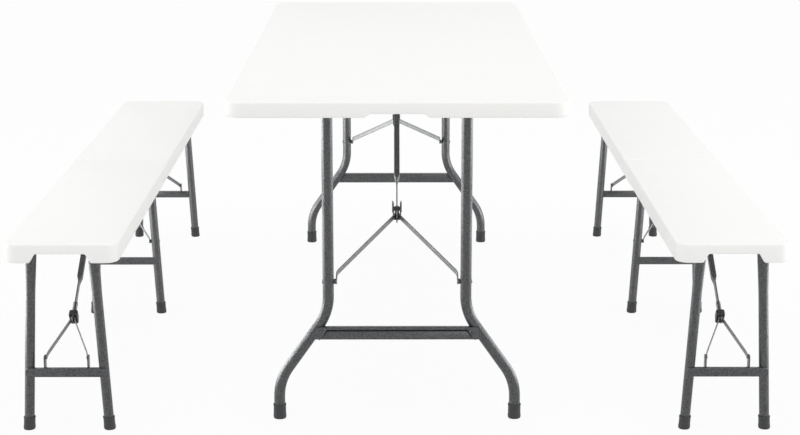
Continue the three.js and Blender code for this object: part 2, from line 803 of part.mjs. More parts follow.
function addBench(model, prefix, x) {
  const group = addGroup(model, { x });
  const pivotHeight = bench.height - bench.panel - benchFrame.pivotClearance - benchFrame.legRadius;
  const pivotY = bench.length / 2 - bench.skirtWall - benchFrame.endClearance - benchFrame.legRadius;
  const seamY = bench.seamGap / 2 + bench.seamWall + middleFrame.seamClearance + middleFrame.legRadius;
  const pivotReach = bench.width / 2 - bench.skirtWall - bench.socketLength;
  const legSpread = pivotReach - benchFrame.legInset;
  const places = { pivotHeight, pivotReach, legSpread, footSpread: legSpread + benchFrame.splay };
  const outer = { frame: { ...benchFrame, ...places }, brace: benchBrace, spread: benchBrace.forkSpread };
  const inner = { frame: { ...middleFrame, ...places }, brace: middleBrace };
  const rivetLeg = straightLegAt(inner.frame, middleBrace.forkHeight);
  inner.spread = rivetLeg - middleFrame.legRadius - gap - middleBrace.bushLength;
  const endMount = { ...outer, y: pivotY, fold: -1 };
  const seamMount = { ...inner, y: seamY, fold: 1 };
  const hingeZ = bench.height - bench.skirtDepth - bench.hingeDrop;
  const nearSide = addGroup(group, { turn: Math.PI });
  addPart(nearSide, `${prefix}_near_seat`, seatHalf([endMount], 1), 'moulded');
  addPart(group, `${prefix}_far_seat`, seatHalf([endMount, seamMount], 0), 'moulded');
  const rodReach = bench.knuckleSpan / 2;
  addPart(group, `${prefix}_hinge_rod`, rod(-rodReach, rodReach, 0, hingeZ, bench.hingeRodRadius), 'steel');
  const stands = [
    { name: 'near', y: -pivotY, turned: 1, ...outer },
    { name: 'middle', y: seamY, turned: 1, ...inner },
    { name: 'far', y: pivotY, turned: -1, ...outer },
  ];
  for (const { name, y, turned, frame, brace, spread } of stands) {
    const stand = addGroup(group, { y, turn: turned > 0 ? 0 : Math.PI });
    const label = `${prefix}_${name}`;
    const slope = frame.splay / pivotHeight;
    addPart(stand, `${label}_leg_frame`, benchLegFrame(frame, brace), 'steel');
    addCaps(stand, label, frame, slope, turned);
    addBrace(stand, label, frame, brace, brace.armReach, bench.height, spread);
  }
}

const model = new THREE.Group();
addTable(model);
addBench(model, 'left_bench', -bench.spacing);
addBench(model, 'right_bench', bench.spacing);

export default model;
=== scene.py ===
"""Folding table with two folding benches: the visible pieces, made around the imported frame."""
import json
import math

import bmesh
import bpy
from bpy.props import FloatProperty, FloatVectorProperty, IntProperty, PointerProperty
from mathutils import Matrix, Vector

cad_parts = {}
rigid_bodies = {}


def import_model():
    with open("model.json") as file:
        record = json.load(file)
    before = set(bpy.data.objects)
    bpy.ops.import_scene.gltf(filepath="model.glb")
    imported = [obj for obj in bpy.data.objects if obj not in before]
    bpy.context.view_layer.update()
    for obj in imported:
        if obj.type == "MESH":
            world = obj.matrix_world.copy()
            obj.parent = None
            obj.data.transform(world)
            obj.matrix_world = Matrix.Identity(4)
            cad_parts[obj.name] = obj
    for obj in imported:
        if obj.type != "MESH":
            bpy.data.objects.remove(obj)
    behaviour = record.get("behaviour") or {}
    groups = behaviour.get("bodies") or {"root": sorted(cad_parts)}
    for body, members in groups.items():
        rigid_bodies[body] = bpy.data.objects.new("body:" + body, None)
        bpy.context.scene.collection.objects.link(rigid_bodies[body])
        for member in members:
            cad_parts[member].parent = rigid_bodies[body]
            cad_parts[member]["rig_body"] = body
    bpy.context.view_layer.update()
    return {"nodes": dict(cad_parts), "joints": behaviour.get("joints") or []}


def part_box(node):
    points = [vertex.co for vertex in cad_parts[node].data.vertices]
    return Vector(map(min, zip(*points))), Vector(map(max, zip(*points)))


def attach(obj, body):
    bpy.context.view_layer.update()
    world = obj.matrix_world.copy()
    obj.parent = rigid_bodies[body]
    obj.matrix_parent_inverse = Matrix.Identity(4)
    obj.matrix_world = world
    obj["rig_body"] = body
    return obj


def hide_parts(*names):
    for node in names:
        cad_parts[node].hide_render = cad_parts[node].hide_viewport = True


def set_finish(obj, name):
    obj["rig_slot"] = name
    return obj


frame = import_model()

bl_info = {
    "name": "Folding table and benches",
    "version": (1, 0, 0),
    "blender": (4, 5, 0),
    "location": "View3D > Sidebar > Folding table",
    "description": "Builds the moulded tops, leg frames, braces and locks of a table with two benches",
    "category": "Add Mesh",
}

X, Y, Z = Vector((1, 0, 0)), Vector((0, 1, 0)), Vector((0, 0, 1))
SIDES = (-1, 1)
HANDS = ("left", "right")
TABLE_ENDS = ("near", "far")
BENCHES = ("left_bench", "right_bench")
STANDS_OF_HALF = {"near": ("near",), "far": ("middle", "far")}
BENCH_FRAMES = [f"{bench}_{stand}" for bench in BENCHES for stand in ("near", "middle", "far")]
ALL_FRAMES = [*TABLE_ENDS, *BENCH_FRAMES]


def mm(value):
    return value / 1000


TUBE_SIDES = 32
PIN_SIDES = 24
CORNER_STEPS = 6  # grid points across a rounded corner of a moulding
GRID_STEP = mm(7)  # spacing of the grid points of a moulded panel
SHARP_ANGLE = 35  # degrees past which an edge is drawn sharp
MOULDED_ANGLE = 40  # the same for mouldings
GAP = mm(0.3)  # between pieces that turn or slide on each other
SUNK = mm(1)  # by which a detail sinks into what carries it
TUBE_END = mm(8)  # height of a leg tube's lower end, inside its foot cap
GROOVE_SLOPE = mm(2)  # width of the slope along a groove
DIMPLE_MARGIN = mm(6)  # between a groove and the dimples beside it
RING_PLAY = mm(0.8)  # by which a lock ring is wider than the arm


def length(label, description, millimetres):
    return FloatProperty(name=label, description=description, default=mm(millimetres), subtype="DISTANCE",
                         unit="LENGTH")


def linear(hex_code):
    """sRGB hex colour as linear red, green, blue and alpha."""
    channels = [int(hex_code[i:i + 2], 16) / 255 for i in (1, 3, 5)]
    return tuple(c / 12.92 if c <= 0.04045 else ((c + 0.055) / 1.055) ** 2.4 for c in channels) + (1.0,)


def colour(label, description, hex_code):
    return FloatVectorProperty(name=label, description=description, default=linear(hex_code), size=4,
                               subtype="COLOR", min=0, max=1)


# Sizes and colours

class TableTopSizes(bpy.types.PropertyGroup):
    """Moulded table top"""
    panel: length("Panel", "Thickness of the moulded panel", 16)
    wall: length("Skirt wall", "Thickness of the skirt", 18)
    corner: length("Corner radius", "Radius of the corners seen from above", 40)
    edge: length("Edge radius", "Rounding of the skirt's outer edges", 5)
    notch_width: length("Cut-out width", "Cut-out in the middle of each end skirt", 128)
    notch_height: length("Cut-out height", "How far the cut-out rises into the skirt", 8.2)
    notch_ramp: length("Cut-out ramp", "Half length of the cut-out's S-shaped ends", 8)
    groove_width: length("Groove width", "Groove that takes the folded brace arms", 46)
    groove_depth: length("Groove depth", "Depth of that groove in the underside", 11)
    groove_reach: length("Groove reach", "Half length of that groove", 700)


class SeatSizes(bpy.types.PropertyGroup):
    """Moulded bench seat halves"""
    panel: length("Panel", "Thickness of the moulded panel", 11)
    wall: length("Skirt wall", "Thickness of the skirt", 16)
    seam_wall: length("Seam wall", "Thickness of the wall at the middle seam", 14)
    corner: length("Corner radius", "Radius of the corners seen from above", 30)
    edge: length("Edge radius", "Rounding of the skirt's outer edges", 4)
    notch_width: length("Cut-out width", "Cut-out in the end skirt", 121)
    notch_height: length("Cut-out height", "How far the cut-out rises into the skirt", 20)
    notch_ramp: length("Cut-out ramp", "Half length of the cut-out's S-shaped ends", 8)
    groove_width: length("Groove width", "Groove that takes the folded brace arms", 40)
    groove_depth: length("Groove depth", "Depth of that groove in the underside", 6)
    socket_wall: length("Socket wall", "Moulding around each pivot pin", 5)
    ear_reach: length("Ear reach", "Brace pin to the edges of the ears that carry it", 7.7)
    knuckle_radius: length("Knuckle radius", "Radius of the hinge knuckles at the seam", 6)
    knuckle_count: IntProperty(name="Knuckles", description="Hinge knuckles across one bench", default=3)


class DimpleSizes(bpy.types.PropertyGroup):
    """Dimples that tie the two skins of a moulded panel together"""
    pitch: length("Pitch", "Spacing of the dimples in a row", 66)
    radius: length("Radius", "Radius of a dimple at its mouth", 17)
    depth: length("Depth", "Depth of a dimple", 4.5)


class TableFrameSizes(bpy.types.PropertyGroup):
    """Wishbone leg frames of the table"""
    leg_radius: length("Leg radius", "Radius of the leg tube", 12.5)
    leg_spread: length("Leg spread", "Half distance between the legs at the pivot", 153)
    bend_top: length("Bend height", "Height where the leg starts to bend outward", 287)
    bend_radius: length("Bend radius", "Radius of both bends", 120)
    bend_angle: FloatProperty(name="Bend angle", description="Slant of the leg between its bends",
                              default=math.radians(35), subtype="ANGLE", unit="ROTATION")
    stub_radius: length("Stub radius", "Radius of the pivot stubs", 6)
    bar_inside: length("Bar inside", "Bar's inner face to the legs' middle plane", 3)
    bar_tab: length("Bar tab", "Thickness of the bar's ends on the legs", 3.3)
    bar_lap: length("Bar lap", "Legs' middle to the ends of the bar", 7)
    tray_depth: length("Tray depth", "Hollow pressed into the bar's outer face", 9)
    tray_rim: length("Tray rim", "Upper rim of that hollow", 6)
    tray_sill: length("Tray sill", "Lower rim of that hollow", 3)
    tray_inset: length("Tray inset", "Legs' middle to the ends of the hollow", 20)
    rivet_radius: length("Rivet radius", "Radius of a rivet head", 5)
    rivet_height: length("Rivet height", "Height of a rivet head", 2.4)


class BenchFrameSizes(bpy.types.PropertyGroup):
    """Straight splayed leg frames of the benches"""
    leg_radius: length("Leg radius", "Radius of the leg tube", 11)
    leg_spread: length("Leg spread", "Half distance between the legs at the pivot", 68)
    leg_head: length("Leg head", "Leg above its pivot", 5)
    head_swell: length("Head swell", "How much wider a leg is pressed at its head", 2.2)
    head_press: length("Head press", "Length over which a leg is pressed oval", 110)
    socket_reach: length("Socket reach", "Half distance between the pivot sockets", 82)
    stub_reach: length("Stub reach", "Half distance between the ends of the pivot pins", 108.7)
    stub_radius: length("Stub radius", "Radius of the pivot pins", 5)
    bar_height: length("Bar height", "Height of the bar", 20)
    end_bar: length("End bar", "Height of the end frames' bar above the floor", 135)
    middle_bar: length("Middle bar", "Height of the middle frame's bar above the floor", 147)
    bar_tab: length("Bar tab", "Thickness of the bar's ends on the legs", 3.5)
    bar_inside: length("Bar inside", "Bar's inner face to the legs' middle plane", 3)
    rivet_radius: length("Rivet radius", "Radius of a rivet head", 4.5)
    rivet_height: length("Rivet height", "Height of a rivet head", 1.2)
    lug_thickness: length("Lug thickness", "Lugs beside the fork's lower ends", 3)
    lug_margin: length("Lug margin", "Lug's edge round the fork's pivot", 6)


# Name and meaning, then millimetres at the table, at the ends of a bench and in its middle
BRACE_LENGTHS = (
    ("fork_height", "Height of the fork's lower pivots", 320, 166, 200),
    ("fork_spread", "Half distance between the outsides of the fork's lower ends", 136.2, 46, 64.5),
    ("fork_offset", "Fork's lower pivots to the legs' middle plane", 0, 4.5, 0),
    ("arm_width", "Width of the arm's tube", 13.5, 13.5, 13.5),
    ("arm_height", "Height of the arm's tube", 13, 11, 11),
    ("arm_end", "Arm past its upper pivot", 10, 8, 8),
    ("blade_thickness", "Thickness of the squeezed end", 3, 3, 3),
    ("blade_height", "Height of the squeezed end", 20, 17, 17),
    ("blade_length", "Knee to the stretch where the tube is squeezed", 92, 60, 55),
    ("squeeze", "Stretch where the tube turns into the blade", 26, 22, 22),
    ("tail", "Blade past the knee", 44, 56, 56),
    ("strap_width", "Width of the fork's straps", 13, 11, 11),
    ("strap_thickness", "Thickness of the fork's straps", 3, 2.5, 2.5),
    ("strap_foot", "Straight lower ends of the straps", 26, 6, 6),
    ("bush_length", "Bush between strap and leg, 0 for none", 4, 0, 3),
    ("bush_radius", "Radius of that bush", 6, 5, 5),
    ("knee_radius", "Radius of the knee rivet", 3.2, 2.8, 2.8),
    ("knee_head", "Height of the knee rivet's heads", 1.2, 1.2, 1.2),
    ("pin_radius", "Radius of the arm's upper pin", 4, 3.5, 3.5),
    ("ring_drop", "Knee to the lock ring's middle", 13, 34, 24),
    ("ring_length", "Length of the lock ring", 14, 16, 16),
    ("ring_wall", "Wall of the lock ring", 2.6, 2.5, 2.5),
    ("ring_hang", "Arm's axis to the ring's lower inside", 17, 18, 18),
    ("tab_length", "Finger tabs above the ring, 0 for none", 30, 0, 0),
)


def brace_lengths(column):
    """Properties of one kind of brace, with their labels made from their names."""
    return {name: length(name.replace("_", " ").capitalize(), meaning, values[column])
            for name, meaning, *values in BRACE_LENGTHS}


class TableBraceSizes(bpy.types.PropertyGroup):
    """Folding braces of the table"""
    __annotations__ = brace_lengths(0)


class EndBraceSizes(bpy.types.PropertyGroup):
    """Folding braces at the ends of the benches"""
    __annotations__ = brace_lengths(1)


class MiddleBraceSizes(bpy.types.PropertyGroup):
    """Folding braces in the middle of the benches"""
    __annotations__ = brace_lengths(2)


class FinishColours(bpy.types.PropertyGroup):
    """Colours of the finishes"""
    polyethylene: colour("Polyethylene", "Moulded tops", "#F3F3F1")
    hammertone_dark: colour("Hammertone valleys", "Thin paint between the hammered bumps", "#434445")
    hammertone_light: colour("Hammertone bumps", "Thick paint on the hammered bumps", "#5E5F60")
    ring_steel: colour("Lock steel", "Phosphated lock rings", "#3B3C3E")
    strap_steel: colour("Strap steel", "Thinly coated straps of the forks", "#7A7B7C")
    cap_plastic: colour("Cap plastic", "Moulded foot caps", "#313234")
    # Black of the nylon bushes, also used as painted shade on the sheet inside each lock ring
    bush_nylon_and_shade: colour("Bush nylon", "Black bushes and ring linings", "#1C1C1E")
    rivet_zinc: colour("Rivet zinc", "Plated rivets, pins and screws", "#9A9DA1")
    floor: colour("Floor", "Studio floor", "#FBFBFB")


class FoldingSet(bpy.types.PropertyGroup):
    """All sizes and colours of the set"""
    top: PointerProperty(type=TableTopSizes)
    seat: PointerProperty(type=SeatSizes)
    dimples: PointerProperty(type=DimpleSizes)
    table_frame: PointerProperty(type=TableFrameSizes)
    bench_frame: PointerProperty(type=BenchFrameSizes)
    table_brace: PointerProperty(type=TableBraceSizes)
    end_brace: PointerProperty(type=EndBraceSizes)
    middle_brace: PointerProperty(type=MiddleBraceSizes)
    finish: PointerProperty(type=FinishColours)


def brace_sizes(settings, prefix):
    """Sizes of the brace that belongs to a leg frame."""
    if prefix in TABLE_ENDS:
        return settings.table_brace
    return settings.middle_brace if prefix.endswith("middle") else settings.end_brace


# Places read from the frame

def joint_place(name):
    return Vector(next(j["pos_m"] for j in frame["joints"] if j["name"] == name))


def middle_of(node):
    low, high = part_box(node)
    return (low + high) / 2


def stand_place(prefix):
    """Matrix that sets a leg frame, built with y inward and z up from the floor, at its place."""
    pivot = joint_place(f"{prefix}_leg_fold")
    turn = math.pi if prefix.endswith("far") else 0
    return Matrix.Translation((pivot.x, pivot.y, 0)) @ Matrix.Rotation(turn, 4, "Z")


def brace_place(prefix, fork_height):
    """Matrix of a brace and the lengths of its arm and its fork.

    The brace is built with its knee at the origin and +Y up the arm.
    """
    knee, head = joint_place(f"{prefix}_knee"), joint_place(f"{prefix}_arm_swing")
    along = (head - knee).normalized()
    across = X if along.y > 0 else -X
    turn = Matrix((across, along, across.cross(along))).transposed().to_4x4()
    return Matrix.Translation(knee) @ turn, (head - knee).length, (knee.z - fork_height) / along.z


# Meshes

def smooth_step(t):
    t = min(max(t, 0), 1)
    return t * t * (3 - 2 * t)


def loft(bm, rings, closed=False):
    """Skin over rings of equal counts. An open loft gets a face on both ends."""
    rows = [[bm.verts.new(p) for p in ring] for ring in rings]
    count = len(rows[0])
    following = rows[1:] + rows[:1] if closed else rows[1:]
    for row, after in zip(rows, following):
        for i in range(count):
            k = (i + 1) % count
            bm.faces.new((row[i], row[k], after[k], after[i]))
    if not closed:
        bm.faces.new(rows[0])
        bm.faces.new(rows[-1])


def circle(radius, sides):
    angles = [2 * math.pi * i / sides for i in range(sides)]
    return [(radius * math.cos(a), radius * math.sin(a)) for a in angles]


def rounded_section(half_width, half_height, radius, steps=4):
    """Rectangle round the origin with rounded corners."""
    points = []
    u, v = half_width - radius, half_height - radius
    for cu, cv, start in ((u, v, 0), (-u, v, 90), (-u, -v, 180), (u, -v, 270)):
        for k in range(steps + 1):
            a = math.radians(start + 90 * k / steps)
            points.append((cu + radius * math.cos(a), cv + radius * math.sin(a)))
    return points


def turned(bm, profile, place, sides=TUBE_SIDES):
    """Body turned about its own z axis from a profile of (radius, height)."""
    loft(bm, [[place @ Vector((x, y, z)) for x, y in circle(r, sides)] for r, z in profile])


def pin(bm, start, end, radius, edge=mm(0.6), sides=PIN_SIDES):
    """Round pin with chamfered ends."""
    reach = (end - start).length
    profile = [(radius - edge, 0), (radius, edge), (radius, reach - edge), (radius - edge, reach)]
    turn = (end - start).normalized().to_track_quat("Z", "Y").to_matrix().to_4x4()
    turned(bm, profile, Matrix.Translation(start) @ turn, sides)


def sweep(bm, path, plane, section):
    """Section swept along a path that lies in one plane. The section may change from point to point."""
    rings = []
    for i, point in enumerate(path):
        along = (path[min(i + 1, len(path) - 1)] - path[max(i - 1, 0)]).normalized()
        across = plane.cross(along)
        rings.append([point + across * u + plane * v for u, v in section(i)])
    loft(bm, rings)


def round_tube(bm, points, radius):
    ring = circle(radius, TUBE_SIDES)
    sweep(bm, points, Y, lambda i: ring)


def bent(corners, radius, steps=8):
    """Path through corner points with each inner corner rounded."""
    path = [corners[0]]
    for before, corner, after in zip(corners, corners[1:], corners[2:]):
        start = corner + (before - corner).normalized() * radius
        end = corner + (after - corner).normalized() * radius
        for k in range(steps + 1):
            t = k / steps
            path.append(start * (1 - t) ** 2 + corner * (2 * t * (1 - t)) + end * t ** 2)
    return path + [corners[-1]]


def soften(bm, verts, edge, sharp_from=25):
    """Rounds the sharp edges between the given corners."""
    inside = set(verts)
    edges = [e for e in bm.edges if e.verts[0] in inside and e.verts[1] in inside]
    bmesh.ops.recalc_face_normals(bm, faces=list({f for e in edges for f in e.link_faces}))
    sharp = [e for e in edges if e.calc_face_angle(0) > math.radians(sharp_from)]
    bmesh.ops.bevel(bm, geom=sharp, offset=edge, segments=2, affect="EDGES", profile=0.5, clamp_overlap=True)


def block(bm, corner, opposite, edge):
    """Block with rounded edges between two opposite corners."""
    low, high = (list(map(pick, corner, opposite)) for pick in (min, max))
    verts = bmesh.ops.create_cube(bm, size=1)["verts"]
    for v in verts:
        v.co = [lo if c < 0 else hi for c, lo, hi in zip(v.co, low, high)]
    soften(bm, verts, edge)


def plate(bm, outline, place, thickness, edge):
    """Plate with softened edges: an outline in its own x and y, standing along its own z."""
    before = set(bm.verts)
    loft(bm, [[place @ Vector((x, y, z)) for x, y in outline] for z in (0, thickness)])
    soften(bm, [v for v in bm.verts if v not in before], edge)


def finished_mesh(name, bm, place=Matrix()):
    """Plain mesh, set in place, with its faces turned outward."""
    bmesh.ops.transform(bm, matrix=place, verts=bm.verts)
    bmesh.ops.recalc_face_normals(bm, faces=bm.faces)
    mesh = bpy.data.meshes.new(name)
    bm.to_mesh(mesh)
    bm.free()
    return mesh


def add_piece(name, mesh, material, slot, carrier, replaced=(), smooth_angle=SHARP_ANGLE):
    """Makes a mesh a piece that moves with the body of a frame node and may stand for nodes."""
    mesh.shade_smooth()
    mesh.set_sharp_from_angle(angle=math.radians(smooth_angle))
    mesh.materials.clear()
    mesh.materials.append(material)
    piece = bpy.data.objects.new(name, mesh)
    bpy.context.scene.collection.objects.link(piece)
    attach(piece, frame["nodes"][carrier]["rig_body"])
    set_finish(piece, slot)
    if replaced:
        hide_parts(*replaced)


def add_steel(name, bm, material, node, place=Matrix(), stands_for_node=True):
    """Piece of the steel frame, which stands for its node unless it is a detail of it."""
    mesh = finished_mesh(name, bm, place)
    add_piece(name, mesh, material, "frame_steel", node, [node] if stands_for_node else [])


# Materials

def add_node(tree, kind, settings=None, links=None):
    """Adds a node, sets its properties and input values, and links its inputs."""
    node = tree.nodes.new(kind)
    for key, value in (settings or {}).items():
        if isinstance(key, int) or key in node.inputs:
            node.inputs[key].default_value = value
        else:
            setattr(node, key, value)
    for key, source in (links or {}).items():
        tree.links.new(source, node.inputs[key])
    return node


def new_material(name):
    material = bpy.data.materials.new(name)
    material.use_nodes = True
    return material, material.node_tree, material.node_tree.nodes["Principled BSDF"]


def per_metre(millimetres):
    """Texture scale for a pattern whose cells are this many millimetres wide."""
    return 1000 / millimetres


def shaded(base, share):
    return [c * share for c in base[:3]] + [1]


CLOUDS = ("ShaderNodeTexNoise", "Fac")
CELLS = ("ShaderNodeTexVoronoi", "Distance")


def patterned(name, patterns, tint, gloss=None, relief=None, constants=None):
    """Material, made once, whose tint, gloss and relief follow patterns in the piece's own coordinates."""
    if name in bpy.data.materials:
        return bpy.data.materials[name]
    material, tree, shader = new_material(name)
    place = add_node(tree, "ShaderNodeTexCoord").outputs["Object"]
    drawn = {key: add_node(tree, kind, settings, {"Vector": place}).outputs[output]
             for key, (kind, output, settings) in patterns.items()}
    followed, *stops = tint
    ramp = add_node(tree, "ShaderNodeValToRGB", links={"Fac": drawn[followed]})
    for element, (position, shade) in zip(ramp.color_ramp.elements, stops):
        element.position = position
        element.color = shade
    tree.links.new(ramp.outputs["Color"], shader.inputs["Base Color"])
    if gloss:
        followed, low, high = gloss
        level = add_node(tree, "ShaderNodeMapRange", {"To Min": low, "To Max": high},
                         {"Value": drawn[followed]})
        tree.links.new(level.outputs["Result"], shader.inputs["Roughness"])
    if relief:
        followed, settings = relief
        bump = add_node(tree, "ShaderNodeBump", settings, {"Height": drawn[followed]})
        tree.links.new(bump.outputs["Normal"], shader.inputs["Normal"])
    for socket, value in (constants or {}).items():
        shader.inputs[socket].default_value = value
    return material


def moulded_polyethylene(colours):
    """Blow-moulded high-density polyethylene: white, waxy and a little translucent, with a pebbled skin."""
    base = colours.polyethylene
    # The real pebbles are about 1 mm wide. They are drawn 3 mm wide, so that they show in the render.
    patterns = {"pebbles": (*CELLS, {"feature": "SMOOTH_F1", "Scale": per_metre(3)}),
                "clouds": (*CLOUDS, {"Scale": per_metre(90), "Detail": 3})}
    return patterned("blow_moulded_polyethylene", patterns, ("clouds", (0, shaded(base, 0.975)), (1, base)),
                     ("clouds", 0.42, 0.56), ("pebbles", {"Strength": 0.12, "Distance": mm(0.3)}),
                     {"IOR": 1.54, "Subsurface Weight": 0.05, "Subsurface Scale": mm(4)})


def hammertone_steel(colours):
    """Steel tube in grey hammered powder coat: a semi-gloss skin of small soft bumps, darker in between."""
    # The real bumps are about 2 mm wide. They are drawn 2.6 mm wide, so that they show in the render.
    patterns = {"bumps": (*CELLS, {"feature": "SMOOTH_F1", "Scale": per_metre(2.6)}),
                "flow": (*CLOUDS, {"Scale": per_metre(6), "Detail": 2})}
    tint = ("bumps", (0.2, colours.hammertone_light), (0.6, colours.hammertone_dark))
    return patterned("hammertone_coated_steel", patterns, tint, ("flow", 0.26, 0.38),
                     ("bumps", {"invert": True, "Strength": 0.1, "Distance": mm(0.3)}), {"Metallic": 0.7})


def satin_steel(name, base):
    """Pressed sheet steel with a thin satin skin, a little blotched."""
    patterns = {"blotches": (*CLOUDS, {"Scale": per_metre(6), "Detail": 5})}
    return patterned(name, patterns, ("blotches", (0, shaded(base, 0.6)), (1, shaded(base, 1.4))),
                     ("blotches", 0.35, 0.55), constants={"Metallic": 0.6})


def phosphated_steel(colours):
    # A lock ring has a phosphate skin, and looks darker than the straps.
    return satin_steel("phosphated_pressed_steel", colours.ring_steel)


def strap_steel(colours):
    # A strap has only a thin coat on its flat faces, and looks lighter than the tubes.
    return satin_steel("thinly_coated_strap_steel", colours.strap_steel)


def moulded_plastic(name, base, grain_width, roughness):
    """Dense plastic: an even dark body with a fine matt grain."""
    patterns = {"grain": (*CLOUDS, {"Scale": per_metre(grain_width), "Detail": 2})}
    return patterned(name, patterns, ("grain", (0, shaded(base, 0.8)), (1, shaded(base, 1.15))),
                     relief=("grain", {"Strength": 0.2, "Distance": mm(0.2)}),
                     constants={"Roughness": roughness})


def polypropylene(colours):
    # A foot cap's grain is about 1 mm wide. It is drawn 2 mm wide, so that it shows in the render.
    return moulded_plastic("moulded_polypropylene", colours.cap_plastic, 2, 0.55)


def black_nylon_and_shade(colours):
    # Also painted shade: the sheet inside each lock ring gets this black in place of its shadow.
    # A bush is turned from black nylon: darker and smoother than the caps.
    # Its fine grain is drawn 1.5 mm wide, so that it shows in the render.
    return moulded_plastic("turned_black_nylon", colours.bush_nylon_and_shade, 1.5, 0.4)


def zinc_plate(colours):
    """Zinc-plated rivets and pins: bright, with fine clouds in the plating."""
    base = colours.rivet_zinc
    patterns = {"clouds": (*CLOUDS, {"Scale": per_metre(3), "Detail": 4})}
    return patterned("zinc_plated_steel", patterns, ("clouds", (0, shaded(base, 0.7)), (1, base)),
                     ("clouds", 0.25, 0.45), constants={"Metallic": 1})


def seen_directly(tree):
    """1 where the camera, a reflection or a refraction sees the surroundings, 0 for the light they give."""
    rays = add_node(tree, "ShaderNodeLightPath")
    seen = rays.outputs["Is Camera Ray"]
    for kind in ("Is Glossy Ray", "Is Transmission Ray"):
        seen = add_node(tree, "ShaderNodeMath", {"operation": "MAXIMUM"},
                        {0: seen, 1: rays.outputs[kind]}).outputs["Value"]
    return seen


# Geometry Nodes

def new_node_group(name, sizes):
    """Node group with a geometry input, named float inputs and a geometry output."""
    group = bpy.data.node_groups.new(name, "GeometryNodeTree")
    face = group.interface
    face.new_socket("Geometry", in_out="INPUT", socket_type="NodeSocketGeometry")
    for label, value in sizes.items():
        socket = face.new_socket(label, in_out="INPUT", socket_type="NodeSocketFloat")
        socket.default_value = value
    face.new_socket("Material", in_out="INPUT", socket_type="NodeSocketMaterial")
    face.new_socket("Geometry", in_out="OUTPUT", socket_type="NodeSocketGeometry")
    return group, group.nodes.new("NodeGroupInput").outputs


def close_node_group(group, geometry, material):
    """Ends a group: instances become real geometry, which gets its material."""
    real = add_node(group, "GeometryNodeRealizeInstances", links={"Geometry": geometry})
    coated = add_node(group, "GeometryNodeSetMaterial",
                      links={"Geometry": real.outputs["Geometry"], "Material": material})
    add_node(group, "NodeGroupOutput", links={"Geometry": coated.outputs["Geometry"]})
    return group


def grown_mesh(name, mesh, group, sizes, material):
    """Runs a node group on a mesh and returns the result as a plain mesh."""
    source = bpy.data.objects.new(name + "_source", mesh)
    bpy.context.scene.collection.objects.link(source)
    modifier = source.modifiers.new(group.name, "NODES")
    modifier.node_group = group
    values = {**sizes, "Material": material}
    for item in group.interface.items_tree:
        if item.in_out == "INPUT" and item.name in values:
            modifier[item.identifier] = values[item.name]
    evaluated = source.evaluated_get(bpy.context.evaluated_depsgraph_get())
    result = bpy.data.meshes.new_from_object(evaluated)
    source.modifiers.remove(modifier)
    bpy.data.objects.remove(source)
    return result


def rivet_group():
    """Domed heads on washers, one on each point, facing along the point's own direction."""
    name, dome_share, washer_height = "rivet_heads", 0.8, mm(1.2)
    if name in bpy.data.node_groups:
        return bpy.data.node_groups[name]
    group, given = new_node_group(name, {"Radius": mm(5), "Height": mm(2.5)})
    radius = given["Radius"]
    sphere = add_node(group, "GeometryNodeMeshUVSphere", {"Segments": 20, "Rings": 10}, {"Radius": radius})
    flat = add_node(group, "ShaderNodeMath", {"operation": "DIVIDE"}, {0: given["Height"], 1: radius})
    scale = add_node(group, "ShaderNodeCombineXYZ", {"X": dome_share, "Y": dome_share},
                     {"Z": flat.outputs["Value"]})
    dome = add_node(group, "GeometryNodeTransform",
                    links={"Geometry": sphere.outputs["Mesh"], "Scale": scale.outputs["Vector"]})
    washer = add_node(group, "GeometryNodeMeshCylinder", {"Vertices": 24, "Depth": washer_height},
                      {"Radius": radius})
    head = add_node(group, "GeometryNodeJoinGeometry")
    for part in (dome.outputs["Geometry"], washer.outputs["Mesh"]):
        group.links.new(part, head.inputs["Geometry"])
    facing = add_node(group, "GeometryNodeInputNamedAttribute",
                      {"data_type": "FLOAT_VECTOR", "Name": "facing"})
    turn = add_node(group, "FunctionNodeAlignRotationToVector", {"axis": "Z"},
                    {"Vector": facing.outputs["Attribute"]})
    heads = add_node(group, "GeometryNodeInstanceOnPoints",
                     links={"Points": given["Geometry"], "Instance": head.outputs["Geometry"],
                            "Rotation": turn.outputs["Rotation"]})
    return close_node_group(group, heads.outputs["Instances"], given["Material"])


def add_rivets(name, places, radius, height, material, carrier):
    """Rivet heads at places given as (point, direction)."""
    points = bpy.data.meshes.new(name + "_points")
    points.from_pydata([p for p, _ in places], [], [])
    facing = points.attributes.new("facing", "FLOAT_VECTOR", "POINT")
    facing.data.foreach_set("vector", [c for _, d in places for c in d])
    mesh = grown_mesh(name, points, rivet_group(), {"Radius": radius, "Height": height}, material)
    add_piece(name, mesh, material, "frame_steel", carrier)


def rivet_pair(place, x, y, z):
    """Two heads that face outward, mirrored about a frame's or a brace's middle."""
    across = place.to_3x3() @ X
    return [(place @ Vector((side * x, y, z)), across * side) for side in SIDES]


